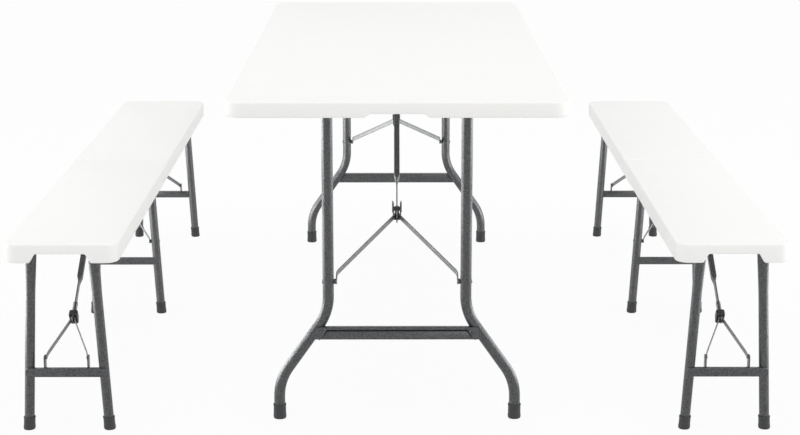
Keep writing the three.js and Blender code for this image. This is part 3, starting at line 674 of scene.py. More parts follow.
def dimple_group():
    """Dimples in two staggered sets of rows, pressed up into the points marked as panel."""
    name = "panel_dimples"
    if name in bpy.data.node_groups:
        return bpy.data.node_groups[name]
    group, given = new_node_group(name, {"Pitch": mm(66), "Radius": mm(17), "Depth": mm(4.5)})
    half = add_node(group, "ShaderNodeMath", {"operation": "MULTIPLY", 1: 0.5}, {0: given["Pitch"]})
    half = half.outputs["Value"]
    place = add_node(group, "ShaderNodeSeparateXYZ",
                     links={"Vector": add_node(group, "GeometryNodeInputPosition").outputs["Position"]})
    distances = []
    for shifted in (False, True):
        offsets = {}
        for axis in "XY":
            along = place.outputs[axis]
            if shifted:
                along = add_node(group, "ShaderNodeMath", {"operation": "ADD"}, {0: along, 1: half})
                along = along.outputs["Value"]
            fold = add_node(group, "ShaderNodeMath", {"operation": "PINGPONG"}, {0: along, 1: half})
            offsets[axis] = fold.outputs["Value"]
        flat = add_node(group, "ShaderNodeCombineXYZ", links=offsets)
        span = add_node(group, "ShaderNodeVectorMath", {"operation": "LENGTH"}, {0: flat.outputs["Vector"]})
        distances.append(span.outputs["Value"])
    nearest = add_node(group, "ShaderNodeMath", {"operation": "MINIMUM"}, dict(enumerate(distances)))
    press = add_node(group, "ShaderNodeMapRange", {"interpolation_type": "SMOOTHSTEP", "To Max": 0.0},
                     {"Value": nearest.outputs["Value"], "From Max": given["Radius"],
                      "To Min": given["Depth"]})
    panel = add_node(group, "GeometryNodeInputNamedAttribute", {"data_type": "FLOAT", "Name": "panel"})
    rise = add_node(group, "ShaderNodeMath", {"operation": "MULTIPLY"},
                    {0: press.outputs["Result"], 1: panel.outputs["Attribute"]})
    offset = add_node(group, "ShaderNodeCombineXYZ", links={"Z": rise.outputs["Value"]})
    pressed = add_node(group, "GeometryNodeSetPosition",
                       links={"Geometry": given["Geometry"], "Offset": offset.outputs["Vector"]})
    return close_node_group(group, pressed.outputs["Geometry"], given["Material"])


def dimpled(name, bm, sizes, material):
    """Presses the dimples into a moulded shell and returns the finished mesh."""
    values = {"Pitch": sizes.pitch, "Radius": sizes.radius, "Depth": sizes.depth}
    result = grown_mesh(name, finished_mesh(name, bm), dimple_group(), values, material)
    result.attributes.remove(result.attributes["panel"])
    return result


# Moulded tops

def grid_lines(low, high, step, marks):
    """Evenly spaced values that also pass through the marks."""
    count = max(round((high - low) / step), 1)
    even = [low + (high - low) * i / count for i in range(count + 1)]
    kept = [v for v in even if all(abs(v - m) > step / 2 for m in marks) or v in (low, high)]
    inner = [m for m in marks if low + step / 4 < m < high - step / 4]
    return sorted(kept + inner)


class MouldedShell:
    """A moulded panel with a skirt round it: one closed skin, built on a grid whose corners are rounded."""

    def __init__(self, low, high, corner, marks, square_seam=False):
        self.corner, self.square_seam = corner, square_seam
        self.lines = [grid_lines(lo + corner, hi - corner, GRID_STEP, m)
                      for lo, hi, m in zip(low, high, marks)]
        self.counts = [len(line) + 2 * CORNER_STEPS for line in self.lines]

    def place(self, i, j, inset):
        """Plan position of a grid point, with the whole outline pulled in by an inset."""
        reach = self.corner - inset
        spot, depth = [0, 0], [0, 0]
        for axis, index in ((0, i), (1, j)):
            inner = index - CORNER_STEPS
            last = len(self.lines[axis]) - 1
            if inner < 0:
                depth[axis] = inner / CORNER_STEPS
            elif inner > last:
                depth[axis] = (inner - last) / CORNER_STEPS
            spot[axis] = self.lines[axis][min(max(inner, 0), last)]
        across, along = depth
        square = self.square_seam and along < 0
        far = max(abs(across), abs(along))
        if square or not (across and along):
            return spot[0] + reach * across, spot[1] + reach * along
        angle = math.pi / 4 * (min(abs(across), abs(along)) / far)
        near_axis, off_axis = far * math.cos(angle), far * math.sin(angle)
        wide = abs(across) >= abs(along)
        u, v = (near_axis, off_axis) if wide else (off_axis, near_axis)
        return spot[0] + reach * math.copysign(u, across), spot[1] + reach * math.copysign(v, along)

    def border(self):
        nx, ny = self.counts
        return ([(i, 0) for i in range(nx - 1)] + [(nx - 1, j) for j in range(ny - 1)]
                + [(i, ny - 1) for i in range(nx - 1, 0, -1)] + [(0, j) for j in range(ny - 1, 0, -1)])

    def build(self, profile, panel_inset, lift, panel_height, may_dimple):
        """Skin from the top face round the skirt to the underside. Profile rows: inset, height, lifted."""
        bm = bmesh.new()
        panel = bm.verts.layers.float.new("panel")
        border = self.border()
        rows = []
        for inset, height, lifted in profile:
            row = []
            for i, j in border:
                x, y = self.place(i, j, inset)
                row.append(bm.verts.new((x, y, height + (lift(x, y) if lifted else 0))))
            rows.append(row)
        grid = {}
        nx, ny = self.counts
        for i in range(nx):
            for j in range(ny):
                x, y = self.place(i, j, panel_inset)
                grid[i, j] = bm.verts.new((x, y, panel_height(x, y)))
                grid[i, j][panel] = 1.0 if may_dimple(x, y) else 0.0
        rows.append([grid[key] for key in border])
        bm.faces.new(rows[0])
        for row, after in zip(rows, rows[1:]):
            for a in range(len(border)):
                b = (a + 1) % len(border)
                bm.faces.new((row[a], row[b], after[b], after[a]))
        for i in range(nx - 1):
            for j in range(ny - 1):
                bm.faces.new((grid[i, j], grid[i + 1, j], grid[i + 1, j + 1], grid[i, j + 1]))
        return bm


def skirt_profile(top, edge_height, under, edge, wall, steps=5):
    """Rows from the top face round the skirt's edges to the fillet under the panel, and the panel's inset."""
    quarter = [math.pi / 2 * k / steps for k in range(steps + 1)]
    lip, fillet = edge / 2, edge * 0.8
    upper = [(edge * (1 - math.sin(a)), top - edge * (1 - math.cos(a)), False) for a in quarter]
    lower = [(edge * (1 - math.cos(a)), edge_height + edge * (1 - math.sin(a)), True) for a in quarter]
    inner = [(wall - lip * (1 - math.sin(a)), edge_height + lip * (1 - math.cos(a)), True) for a in quarter]
    under_rows = [(wall + fillet * (1 - math.cos(a)), under - fillet * (1 - math.sin(a)), False)
                  for a in quarter[:-1]]
    return upper + lower + inner + under_rows, wall + fillet


def notch_lift(x, sizes):
    """Rise of the skirt's lower edge in a cut-out with S-shaped ends."""
    ramp = sizes.notch_ramp
    return sizes.notch_height * smooth_step((sizes.notch_width / 2 + ramp - abs(x)) / (2 * ramp))


def notch_marks(sizes, steps):
    """Grid values that follow one S-shaped end of a cut-out."""
    return [sizes.notch_width / 2 + sizes.notch_ramp * k / steps for k in range(-steps, steps + 1)]


def slot_share(value, half):
    """1 inside a groove, 0 outside, with a narrow slope between."""
    return smooth_step((half - abs(value)) / GROOVE_SLOPE)


def mirrored(values):
    return sorted([-v for v in values] + list(values))


def table_top_mesh(top, dimples):
    low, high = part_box("table_top")
    under = high.z - top.panel
    across, reach = top.groove_width / 2, top.groove_reach
    marks = (mirrored([across, across - GROOVE_SLOPE, *notch_marks(top, 4)]),
             mirrored([reach, reach - GROOVE_SLOPE]))
    profile, inset = skirt_profile(high.z, low.z, under, top.edge, top.wall)

    def lift(x, y):
        at_end = min(y - low.y, high.y - y) < 2 * top.wall and abs(x) < high.x - top.corner
        return notch_lift(x, top) if at_end else 0

    def panel_height(x, y):
        share = slot_share(x, across) * slot_share(y, reach)
        return under + top.groove_depth * share

    def may_dimple(x, y):
        clear = top.wall + top.edge + dimples.radius
        inside = abs(x) < high.x - clear and abs(y) < high.y - clear
        return inside and abs(x) > across + DIMPLE_MARGIN

    shell = MouldedShell(low[:2], high[:2], top.corner, marks)
    return shell.build(profile, inset, lift, panel_height, may_dimple)


def seat_place(bench, half):
    """Matrix of a seat half that is built from the seam at y = 0 to its end."""
    turn = Matrix.Rotation(math.pi if half == "near" else 0, 4, "Z")
    return Matrix.Translation((middle_of(f"{bench}_hinge_rod").x, 0, 0)) @ turn


def hinge_span(bench):
    low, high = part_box(f"{bench}_hinge_rod")
    return high.x - low.x


def seat_mesh(seat, dimples, bench, half):
    """One half of a seat, with room for the knuckles in its seam wall."""
    edge_rise, knuckle_clear, knuckle_play = mm(0.5), mm(2), mm(1)
    low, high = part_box(f"{bench}_{half}_seat")
    edge_height = joint_place(f"{bench}_half_fold").z + edge_rise
    reach = (high.x - low.x) / 2
    end = max(abs(low.y), abs(high.y))
    under = high.z - seat.panel
    across = seat.groove_width / 2
    groove_from, groove_to = 2 * seat.seam_wall, end - 2 * seat.wall
    groove_middle, groove_half = (groove_from + groove_to) / 2, (groove_to - groove_from) / 2
    clear_half = hinge_span(bench) / 2 + knuckle_clear
    marks = (mirrored([across, across - GROOVE_SLOPE, clear_half, clear_half + knuckle_clear,
                       *notch_marks(seat, 5)]),
             [groove_from, groove_from + GROOVE_SLOPE, groove_to - GROOVE_SLOPE, groove_to])
    profile, inset = skirt_profile(high.z, edge_height, under, seat.edge, seat.wall)

    def lift(x, y):
        if abs(x) >= reach - seat.corner:
            return 0
        if end - y < 2 * seat.wall:
            return notch_lift(x, seat)
        if y < 2 * seat.seam_wall:
            share = smooth_step((clear_half + knuckle_clear - abs(x)) / knuckle_clear)
            return (seat.knuckle_radius + knuckle_play) * share
        return 0

    def panel_height(x, y):
        share = slot_share(x, across) * slot_share(y - groove_middle, groove_half)
        return under + seat.groove_depth * share

    def may_dimple(x, y):
        clear = seat.wall + seat.edge + dimples.radius
        inside = abs(x) < reach - clear and clear < y < end - clear
        return inside and abs(x) > across + DIMPLE_MARGIN

    shell = MouldedShell((-reach, GAP), (reach, end), seat.corner, marks, square_seam=True)
    bm = shell.build(profile, inset, lift, panel_height, may_dimple)
    bmesh.ops.transform(bm, matrix=seat_place(bench, half), verts=bm.verts)
    return bm


def seat_details(settings, bench, half):
    """Sockets for the pivot pins, ears for the brace arms and hinge knuckles of one seat half."""
    socket_edge, ear_edge, ear_sunk = mm(2), mm(2.5), mm(0.5)
    knuckle_edge, web_gap, web_inset, web_rise, web_edge = mm(1), mm(0.8), mm(1), mm(4), mm(1.5)
    seat, legs = settings.seat, settings.bench_frame
    place = seat_place(bench, half)
    back = place.inverted()
    low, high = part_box(f"{bench}_{half}_seat")
    under = high.z - seat.panel
    bm = bmesh.new()

    def pair(inner, outer, at, reach, roof, edge):
        """Blocks on both sides of a pivot, from below it up into the panel."""
        for side in SIDES:
            block(bm, (side * inner, at.y - reach, at.z - reach),
                  (side * outer, at.y + reach, roof + SUNK), edge)

    for stand in STANDS_OF_HALF[half]:
        prefix = f"{bench}_{stand}"
        pair(legs.socket_reach + GAP, (high.x - low.x) / 2 - seat.wall + SUNK,
             back @ joint_place(f"{prefix}_leg_fold"), legs.stub_radius + seat.socket_wall, under,
             socket_edge)
        pair(brace_sizes(settings, prefix).arm_width / 2 + 2 * GAP, seat.groove_width / 2 + ear_sunk,
             back @ joint_place(f"{prefix}_arm_swing"), seat.ear_reach, under + seat.groove_depth, ear_edge)
    hinge_z = joint_place(f"{bench}_half_fold").z
    span = hinge_span(bench)
    pitch = span / seat.knuckle_count
    first = 1 if half == "near" else 0
    for i in range(first, seat.knuckle_count, 2):
        start = Vector((-span / 2 + i * pitch + GAP, 0, hinge_z))
        finish = start + X * (pitch - 2 * GAP)
        pin(bm, start, finish, seat.knuckle_radius, knuckle_edge)
        block(bm, (start.x, web_gap, hinge_z - web_inset),
              (finish.x, seat.seam_wall - web_inset, hinge_z + seat.knuckle_radius + web_rise), web_edge)
    bmesh.ops.transform(bm, matrix=place, verts=bm.verts)
    return bm


def join_meshes(mesh, bm):
    """Adds a detail mesh to a finished shell."""
    bmesh.ops.recalc_face_normals(bm, faces=bm.faces)
    bm.from_mesh(mesh)
    bm.to_mesh(mesh)
    bm.free()


# Leg frames

def wishbone_path(sizes, foot_x, pivot_z, steps=10):
    """Leg from its pivot to its foot, bent out and back on two equal arcs, as (x, z)."""
    angle, radius, spread = sizes.bend_angle, sizes.bend_radius, sizes.leg_spread
    slant = (foot_x - spread - 2 * radius * (1 - math.cos(angle))) / math.sin(angle)
    drop = 2 * radius * math.sin(angle) + slant * math.cos(angle)
    turns = [angle * k / steps for k in range(steps + 1)]
    upper = [(spread + radius * (1 - math.cos(t)), sizes.bend_top - radius * math.sin(t)) for t in turns]
    lower = [(foot_x - radius * (1 - math.cos(t)), sizes.bend_top - drop + radius * math.sin(t))
             for t in reversed(turns)]
    return [(spread, pivot_z), *upper, *lower, (foot_x, TUBE_END)]


def leg_x_at(path, height):
    """Distance of a leg from the middle at a height."""
    for (x0, z0), (x1, z1) in zip(path, path[1:]):
        if z1 <= height <= z0:
            return x0 + (x1 - x0) * (z0 - height) / (z0 - z1)
    raise ValueError("the leg doesn't reach this height")


def weld_bead(bm, x, pivot_z, radius, bead=mm(1.1), steps=32, lean=0.2):
    """Bead of weld where a leg runs into the pivot tube of the same radius."""
    rings = []
    for k in range(steps):
        a = 2 * math.pi * k / steps
        out = Vector((math.cos(a), math.sin(a), 0))
        seat = Vector((x, 0, pivot_z)) + out * radius - Z * radius * abs(math.cos(a))
        up = (out - Z * (lean + abs(math.cos(a)))).normalized()
        side = up.cross(Vector((-math.sin(a), math.cos(a), 0))).normalized()
        rings.append([seat + up * u + side * v for u, v in circle(bead, 8)])
    loft(bm, rings, closed=True)


def crossbar_mesh(sizes, leg_path, low, high):
    """Pressed bar whose ends follow the legs and lap over them, with a raised panel in its tray."""
    front, inset = -sizes.leg_radius - sizes.bar_tab, sizes.tray_inset

    def corners(bottom, top, offset, y, foot_y):
        foot, head = leg_x_at(leg_path, bottom) + offset, leg_x_at(leg_path, top) + offset
        return [Vector((-foot, foot_y, bottom)), Vector((foot, foot_y, bottom)),
                Vector((head, y, top)), Vector((-head, y, top))]

    rings = [corners(low, high, sizes.bar_lap, y, y) for y in (-sizes.bar_inside, front)]
    # From the tray's rim down its wall, across its floor and up to the panel: how far the ring lies above the
    # sill, below the rim, inside the ends, and behind the face at its top and its foot
    deep = sizes.tray_depth
    for sill, rim, end, top_depth, foot_depth in (
            (0, 0, 0, 0, 0), (mm(0.6), mm(0.6), mm(2), deep, mm(0.6)),
            (mm(1.2), mm(3.2), mm(5), deep, mm(0.6)), (mm(1.8), mm(4), mm(6), mm(3.5), mm(0.3))):
        rings.append(corners(low + sizes.tray_sill + sill, high - sizes.tray_rim - rim, -inset - end,
                             front + top_depth, front + foot_depth))
    bm = bmesh.new()
    loft(bm, rings)
    soften(bm, list(bm.verts), mm(0.5))
    roll, tray_bead, tab_bead = mm(2.6), mm(2.2), mm(1.2)
    reach = leg_x_at(leg_path, high) - inset
    pin(bm, Vector((-reach, front, high - roll)), Vector((reach, front, high - roll)), roll)
    for side in SIDES:
        for offset, radius, top in ((-inset, tray_bead, high - roll), (sizes.bar_lap, tab_bead, high)):
            bead = [Vector((side * (leg_x_at(leg_path, z) + offset), front, z)) for z in (low, top)]
            round_tube(bm, bead, radius)
    return bm


def cap_mesh(radius, height):
    """Foot cap: a cup with a rounded sole, a waist and a rolled lip."""
    wall, rounding, cup_floor = mm(1.2), mm(0.3), mm(6)
    inside = radius - wall
    # Millimetres inside the widest radius, and above the sole or below the lip
    from_sole = ((4, 0), (1.2, 0.5), (0.2, 2), (0, 4), (0, 9), (0.5, 11))
    from_lip = ((0.6, 6), (0.3, 4.5), (0, 3.4), (0, 1.2), (0.4, 0.3))
    profile = [(radius - mm(shy), mm(z)) for shy, z in from_sole]
    profile += [(radius - mm(shy), height - mm(z)) for shy, z in from_lip]
    profile += [(inside + rounding, height), (inside, height - 2 * rounding), (inside, cup_floor)]
    bm = bmesh.new()
    turned(bm, profile, Matrix())
    return bm


def leaning(foot, slope):
    """Matrix of a cap that leans with its leg."""
    lean = Matrix(((1, 0, slope, 0), (0, 1, 0, 0), (0, 0, 1, 0), (0, 0, 0, 1)))
    return Matrix.Translation(foot) @ lean


def bench_legs(bm, sizes, prefix, place):
    """Two straight splayed legs with pressed oval heads and pivot pins. Returns a leg's x at a height."""
    edge, pin_end, steps = mm(1), mm(2), 8
    pivot_z = joint_place(f"{prefix}_leg_fold").z
    cap = place.inverted() @ middle_of(f"{prefix}_left_foot_cap")
    slope = (sizes.leg_spread - abs(cap.x)) / (pivot_z - cap.z)
    head, press = pivot_z + sizes.leg_head, sizes.head_press
    heights = [head, *(head - edge - press * k / steps for k in range(steps + 1)), pivot_z / 2, TUBE_END]

    def leg_x(height):
        return abs(cap.x) - slope * cap.z + slope * height

    def section(i):
        swell = sizes.head_swell * smooth_step((heights[i] - head + press) / press)
        radius = sizes.leg_radius - (edge if i == 0 else 0)
        return [((radius + swell) * u, (radius - swell) * v) for u, v in circle(1, TUBE_SIDES)]

    inner = sizes.leg_spread - sizes.leg_radius - pin_end
    for side in SIDES:
        sweep(bm, [Vector((side * leg_x(z), 0, z)) for z in heights], Y, section)
        pin(bm, Vector((side * inner, 0, pivot_z)), Vector((side * sizes.stub_reach, 0, pivot_z)),
            sizes.stub_radius)
    return leg_x


def bench_bar(bm, sizes, leg_x, height):
    """Bar between the legs of a bench frame."""
    half = sizes.bar_height / 2
    block(bm, (-leg_x(height), -sizes.leg_radius, height - half),
          (leg_x(height), -sizes.bar_inside, height + half), mm(2))


def end_bar_face(bm, sizes, brace, leg_x):
    """Flat face with round ends on the outside of the legs, and the lugs beside the fork."""
    end_inset, round_share, arc_steps = mm(4), 0.6, 10
    height, half = sizes.end_bar, sizes.bar_height / 2
    reach = leg_x(height) + sizes.leg_radius - end_inset
    face = Matrix.Translation((0, SUNK - sizes.leg_radius, height)) @ Matrix.Rotation(math.pi / 2, 4, "X")
    plate(bm, rounded_section(reach, half, half * round_share, 6), face, sizes.bar_tab + SUNK, mm(1))
    margin = sizes.lug_margin
    back, front = -sizes.bar_inside - margin, brace.fork_offset + margin
    foot = height + half - margin
    outline = [(back, foot), (front, foot)]
    for k in range(arc_steps + 1):
        a = math.pi * k / arc_steps
        outline.append(((front + back) / 2 + (front - back) / 2 * math.cos(a),
                        brace.fork_height + margin * math.sin(a)))
    upright = Matrix(((0, 0, 1, 0), (1, 0, 0, 0), (0, 1, 0, 0), (0, 0, 0, 1)))
    inner = brace.fork_spread + GAP
    for x in (inner, -inner - sizes.lug_thickness):
        plate(bm, outline, Matrix.Translation((x, 0, 0)) @ upright, sizes.lug_thickness, mm(0.6))


# Braces

def arm_mesh(sizes, arm_length, steps=10):
    """Rectangular tube squeezed to an upright blade with a rounded tip."""
    chamfer, tube_edge, blade_edge = mm(1), mm(2.2), mm(0.9)
    tube = (sizes.arm_width / 2, sizes.arm_height / 2, tube_edge)
    blade = (sizes.blade_thickness / 2, sizes.blade_height / 2, blade_edge)
    end = arm_length + sizes.arm_end
    rows = [(end, [v - chamfer for v in tube]), (end - chamfer, tube)]
    for k in range(steps + 1):
        share = smooth_step(k / steps)
        mixed = [a + (b - a) * share for a, b in zip(tube, blade)]
        rows.append((sizes.blade_length + sizes.squeeze * (1 - k / steps), mixed))
    tip = sizes.blade_height / 2
    for k in range(steps):
        a = math.pi / 2 * k / steps
        section = (blade[0], tip * math.cos(a) + blade_edge, blade_edge)
        rows.append((tip - sizes.tail - tip * math.sin(a), section))
    bm = bmesh.new()
    loft(bm, [[(u, y, v) for u, v in rounded_section(w, h, r)] for y, (w, h, r) in rows])
    return bm


def strap_path(sizes, reach):
    """One strap's middle line: beside the blade, out to its leg, and along it to its round end."""
    below_ring, bend = mm(4), mm(8)
    half, radius = sizes.strap_thickness / 2, sizes.strap_width / 2
    near, far = sizes.blade_thickness / 2 + GAP + half, sizes.fork_spread - half
    straight = sizes.ring_drop + sizes.ring_length / 2 + below_ring
    corners = [(near, radius), (near, -straight), (far, sizes.strap_foot - reach), (far, -reach - radius)]
    return bent([Vector((x, y, 0)) for x, y in corners], bend)


def fork_mesh(sizes, reach):
    """Two bent straps with round ends, riveted together at the knee."""
    spacing, tip, edge = mm(2.5), mm(1.2), mm(0.7)
    radius = sizes.strap_width / 2
    path = strap_path(sizes, reach)
    dense = []
    for a, b in zip(path, path[1:]):
        count = max(1, math.ceil((b - a).length / spacing))
        dense += [a.lerp(b, k / count) for k in range(count)]
    dense.append(path[-1])
    run = [0.0]
    for a, b in zip(dense, dense[1:]):
        run.append(run[-1] + (b - a).length)

    def section(i):
        to_end = min(run[i], run[-1] - run[i], radius)
        half = math.sqrt(max(radius ** 2 - (radius - to_end) ** 2, tip ** 2))
        return rounded_section(sizes.strap_thickness / 2, half, edge, 2)

    bm = bmesh.new()
    mirror = Matrix.Scale(-1, 4, X)
    for line in (dense, [mirror @ p for p in dense]):
        sweep(bm, line, Z, section)
    head = sizes.blade_thickness / 2 + sizes.strap_thickness
    pin(bm, -X * head, X * head, sizes.knee_radius)
    return bm


def bush_mesh(sizes, reach):
    """Black bushes between the fork's lower ends and the legs."""
    bm = bmesh.new()
    for side in SIDES:
        start = Vector((side * (sizes.fork_spread - sizes.strap_thickness / 2), -reach, 0))
        end = Vector((side * (sizes.fork_spread + sizes.bush_length), -reach, 0))
        pin(bm, start, end, sizes.bush_radius, mm(0.8))
    return bm


def ring_section(sizes, share, grow):
    """Lock ring's section: from a close collar at share 0 to a deep mouth at share 1, grown outward."""
    collar_play, corner = mm(1.5), mm(1)
    inside = (sizes.arm_width + RING_PLAY) / 2
    top = sizes.blade_height / 2 + GAP
    collar = sizes.blade_height / 2 + collar_play
    bottom = -collar - (sizes.ring_hang - collar) * smooth_step(share)
    centre, half = (top + bottom) / 2, (top - bottom) / 2
    section = rounded_section(inside + grow, half + grow, corner + max(grow, 0), 6)
    return [(u, v + centre) for u, v in section]


def ring_rows(sizes, steps=8):
    """Stations along a lock ring, from its collar down to its mouth, as (share, y)."""
    end = sizes.ring_length / 2 - sizes.ring_drop
    return [(k / steps, end - sizes.ring_length * k / steps) for k in range(steps + 1)]


def sleeve_mesh(sizes, rows, outer, inner):
    """Sleeve along a lock ring's stations, between the section grown by outer at each share and by inner."""
    rings = [[(u, y, v) for u, v in ring_section(sizes, share, outer(share))] for share, y in rows]
    rings += [[(u, y, v) for u, v in ring_section(sizes, share, inner)] for share, y in reversed(rows)]
    bm = bmesh.new()
    loft(bm, rings, closed=True)
    return bm


def ring_mesh(sizes):
    """Lock ring: a sleeve that opens from a close collar to a deep mouth, with rolled rims."""
    rim_share = 0.35
    return sleeve_mesh(sizes, ring_rows(sizes),
                       lambda share: sizes.ring_wall * (rim_share if share in (0, 1) else 1), 0)


def shade_sheet_mesh(sizes):
    """Black sheet on the inside of a lock ring: painted shade, standing in for the shadow inside it."""
    clear, thickness = mm(0.02), mm(0.3)
    return sleeve_mesh(sizes, ring_rows(sizes)[1:-1], lambda share: -clear, -thickness)


def ring_tabs(bm, sizes):
    """Finger tabs of the table's lock ring, a little flared at their tips."""
    thick, root, flare, tip_from = mm(4), mm(2), mm(0.4), 0.6
    reach, half = sizes.tab_length, sizes.blade_height / 4
    start = sizes.ring_length / 2 - sizes.ring_drop
    middle = (sizes.arm_width + RING_PLAY + thick) / 2
    points = [(middle, start - root), (middle, start + reach * tip_from), (middle + flare, start + reach)]
    sections = [(thick * 0.5, half), (thick * 0.5, half), (thick * 0.3, half * 0.55)]
    for side in SIDES:
        sweep(bm, [Vector((side * x, y, 0)) for x, y in points], Z,
              lambda i: rounded_section(*sections[i], mm(0.6), 3))


# Operators

class PieceOperator:
    """Options shared by the operators."""
    bl_options = {"REGISTER", "UNDO"}


class MESH_OT_table_top(PieceOperator, bpy.types.Operator):
    """Moulded table top with its skirt, end cut-outs, groove and dimpled underside"""
    bl_idname = "folding_set.table_top"
    bl_label = "Table top"

    def execute(self, context):
        settings = context.scene.folding_set
        material = moulded_polyethylene(settings.finish)
        name, node = "table_top_moulding", "table_top"
        mesh = dimpled(name, table_top_mesh(settings.top, settings.dimples), settings.dimples, material)
        add_piece(name, mesh, material, "moulded_top", node, [node], MOULDED_ANGLE)
        return {"FINISHED"}


class MESH_OT_table_rails(PieceOperator, bpy.types.Operator):
    """Steel side rails and the brace bracket under the table top, with their screws and pins"""
    bl_idname = "folding_set.table_rails"
    bl_label = "Table rails and bracket"

    def execute(self, context):
        settings = context.scene.folding_set
        steel, zinc = hammertone_steel(settings.finish), zinc_plate(settings.finish)
        for hand in HANDS:
            self.rail(f"{hand}_rail", steel, zinc)
        self.bracket("brace_bracket", settings.table_brace, steel, zinc)
        return {"FINISHED"}

    def rail(self, node, steel, zinc):
        """Square tube with screws along its underside."""
        chamfer, corner = mm(1), mm(3)
        screw_radius, screw_height, screw_shares = mm(4.5), mm(2.2), (-0.97, -0.6, -0.2, 0.2, 0.6, 0.97)
        low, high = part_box(node)
        centre, half = (low + high) / 2, (high - low) / 2
        rows = [(-half.y, chamfer), (chamfer - half.y, 0), (half.y - chamfer, 0), (half.y, chamfer)]
        bm = bmesh.new()
        loft(bm, [[(centre.x + u, centre.y + y, centre.z + v)
                   for u, v in rounded_section(half.x - shy, half.z - shy, corner)] for y, shy in rows])
        add_steel(f"{node}_tube", bm, steel, node)
        places = [(Vector((centre.x, centre.y + half.y * share, low.z)), -Z) for share in screw_shares]
        add_rivets(f"{node}_screws", places, screw_radius, screw_height, zinc, node)

    def bracket(self, node, brace, steel, zinc):
        """Channel with the pins of both brace arms."""
        wall, edge = mm(2), mm(0.6)
        low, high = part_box(node)
        outside = (high.x - low.x) / 2
        bm = bmesh.new()
        for side in SIDES:
            block(bm, (side * outside, low.y, low.z), (side * (outside - wall), high.y, high.z), edge)
        block(bm, (-outside, low.y, high.z - wall), (outside, high.y, high.z), edge)
        add_steel(f"{node}_channel", bm, steel, node)
        pins = bmesh.new()
        for end in TABLE_ENDS:
            at = joint_place(f"{end}_arm_swing")
            pin(pins, at - X * outside, at + X * outside, brace.pin_radius)
        add_steel(f"{node}_pins", pins, zinc, node, stands_for_node=False)


class MESH_OT_table_frames(PieceOperator, bpy.types.Operator):
    """Wishbone leg frames, pressed crossbars and rivets of the table"""
    bl_idname = "folding_set.table_frames"
    bl_label = "Table leg frames"

    def execute(self, context):
        settings = context.scene.folding_set
        sizes, brace = settings.table_frame, settings.table_brace
        steel, zinc = hammertone_steel(settings.finish), zinc_plate(settings.finish)
        for end in TABLE_ENDS:
            legs, bar = f"{end}_leg_frame", f"{end}_crossbar"
            place = stand_place(end)
            pivot = Z * joint_place(f"{end}_leg_fold").z
            path = wishbone_path(sizes, abs(middle_of(f"{end}_left_foot_cap").x), pivot.z)
            tube = X * (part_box("right_rail")[0].x - GAP)
            stub_low, stub_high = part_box(legs)
            bm = bmesh.new()
            pin(bm, pivot - tube, pivot + tube, sizes.leg_radius, mm(1), TUBE_SIDES)
            pin(bm, pivot + X * stub_low.x, pivot + X * stub_high.x, sizes.stub_radius)
            for side in SIDES:
                round_tube(bm, [Vector((side * x, 0, z)) for x, z in path], sizes.leg_radius)
                weld_bead(bm, side * sizes.leg_spread, pivot.z, sizes.leg_radius)
            add_steel(f"{end}_wishbone_legs", bm, steel, legs, place)
            bar_low, bar_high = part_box(bar)
            bm = crossbar_mesh(sizes, path, bar_low.z, bar_high.z)
            add_steel(f"{end}_pressed_bar", bm, steel, bar, place)
            heads = rivet_pair(place, sizes.leg_spread + sizes.leg_radius, 0, brace.fork_height)
            add_rivets(f"{end}_leg_rivets", heads, sizes.rivet_radius, sizes.rivet_height, zinc, legs)
        return {"FINISHED"}


class MESH_OT_bench_seats(PieceOperator, bpy.types.Operator):
    """Moulded seat halves with sockets, ears and knuckles, and their hinge rods"""
    bl_idname = "folding_set.bench_seats"
    bl_label = "Bench seats"

    def execute(self, context):
        settings = context.scene.folding_set
        material, zinc = moulded_polyethylene(settings.finish), zinc_plate(settings.finish)
        for bench in BENCHES:
            for half in TABLE_ENDS:
                node = f"{bench}_{half}_seat"
                bm = seat_mesh(settings.seat, settings.dimples, bench, half)
                mesh = dimpled(f"{node}_moulding", bm, settings.dimples, material)
                join_meshes(mesh, seat_details(settings, bench, half))
                add_piece(f"{node}_moulding", mesh, material, "moulded_top", node, [node], MOULDED_ANGLE)
                outside = X * (settings.seat.groove_width / 2)
                bm = bmesh.new()
                for stand in STANDS_OF_HALF[half]:
                    at = joint_place(f"{bench}_{stand}_arm_swing")
                    pin(bm, at - outside, at + outside, brace_sizes(settings, f"{bench}_{stand}").pin_radius)
                add_steel(f"{node}_arm_pins", bm, zinc, node, stands_for_node=False)
            rod = f"{bench}_hinge_rod"
            low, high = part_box(rod)
            centre, half_span = middle_of(rod), X * (hinge_span(bench) / 2)
            bm = bmesh.new()
            pin(bm, centre - half_span, centre + half_span, (high.z - low.z) / 2)
            add_steel(f"{bench}_hinge_pin", bm, zinc, rod)
        return {"FINISHED"}


class MESH_OT_bench_frames(PieceOperator, bpy.types.Operator):
    """Splayed leg frames of the benches with their bars, lugs and rivets"""
    bl_idname = "folding_set.bench_frames"
    bl_label = "Bench leg frames"

    def execute(self, context):
        settings = context.scene.folding_set
        sizes = settings.bench_frame
        steel, zinc = hammertone_steel(settings.finish), zinc_plate(settings.finish)
        for prefix in BENCH_FRAMES:
            node, place, brace = f"{prefix}_leg_frame", stand_place(prefix), brace_sizes(settings, prefix)
            bm = bmesh.new()
            leg_x = bench_legs(bm, sizes, prefix, place)
            if prefix.endswith("middle"):
                bench_bar(bm, sizes, leg_x, sizes.middle_bar)
                outside = leg_x(brace.fork_height) + sizes.leg_radius
            else:
                bench_bar(bm, sizes, leg_x, sizes.end_bar)
                end_bar_face(bm, sizes, brace, leg_x)
                outside = brace.fork_spread + GAP + sizes.lug_thickness
            add_steel(f"{prefix}_splayed_legs", bm, steel, node, place)
            heads = rivet_pair(place, outside, brace.fork_offset, brace.fork_height)
            add_rivets(f"{prefix}_leg_rivets", heads, sizes.rivet_radius, sizes.rivet_height, zinc, node)
        return {"FINISHED"}


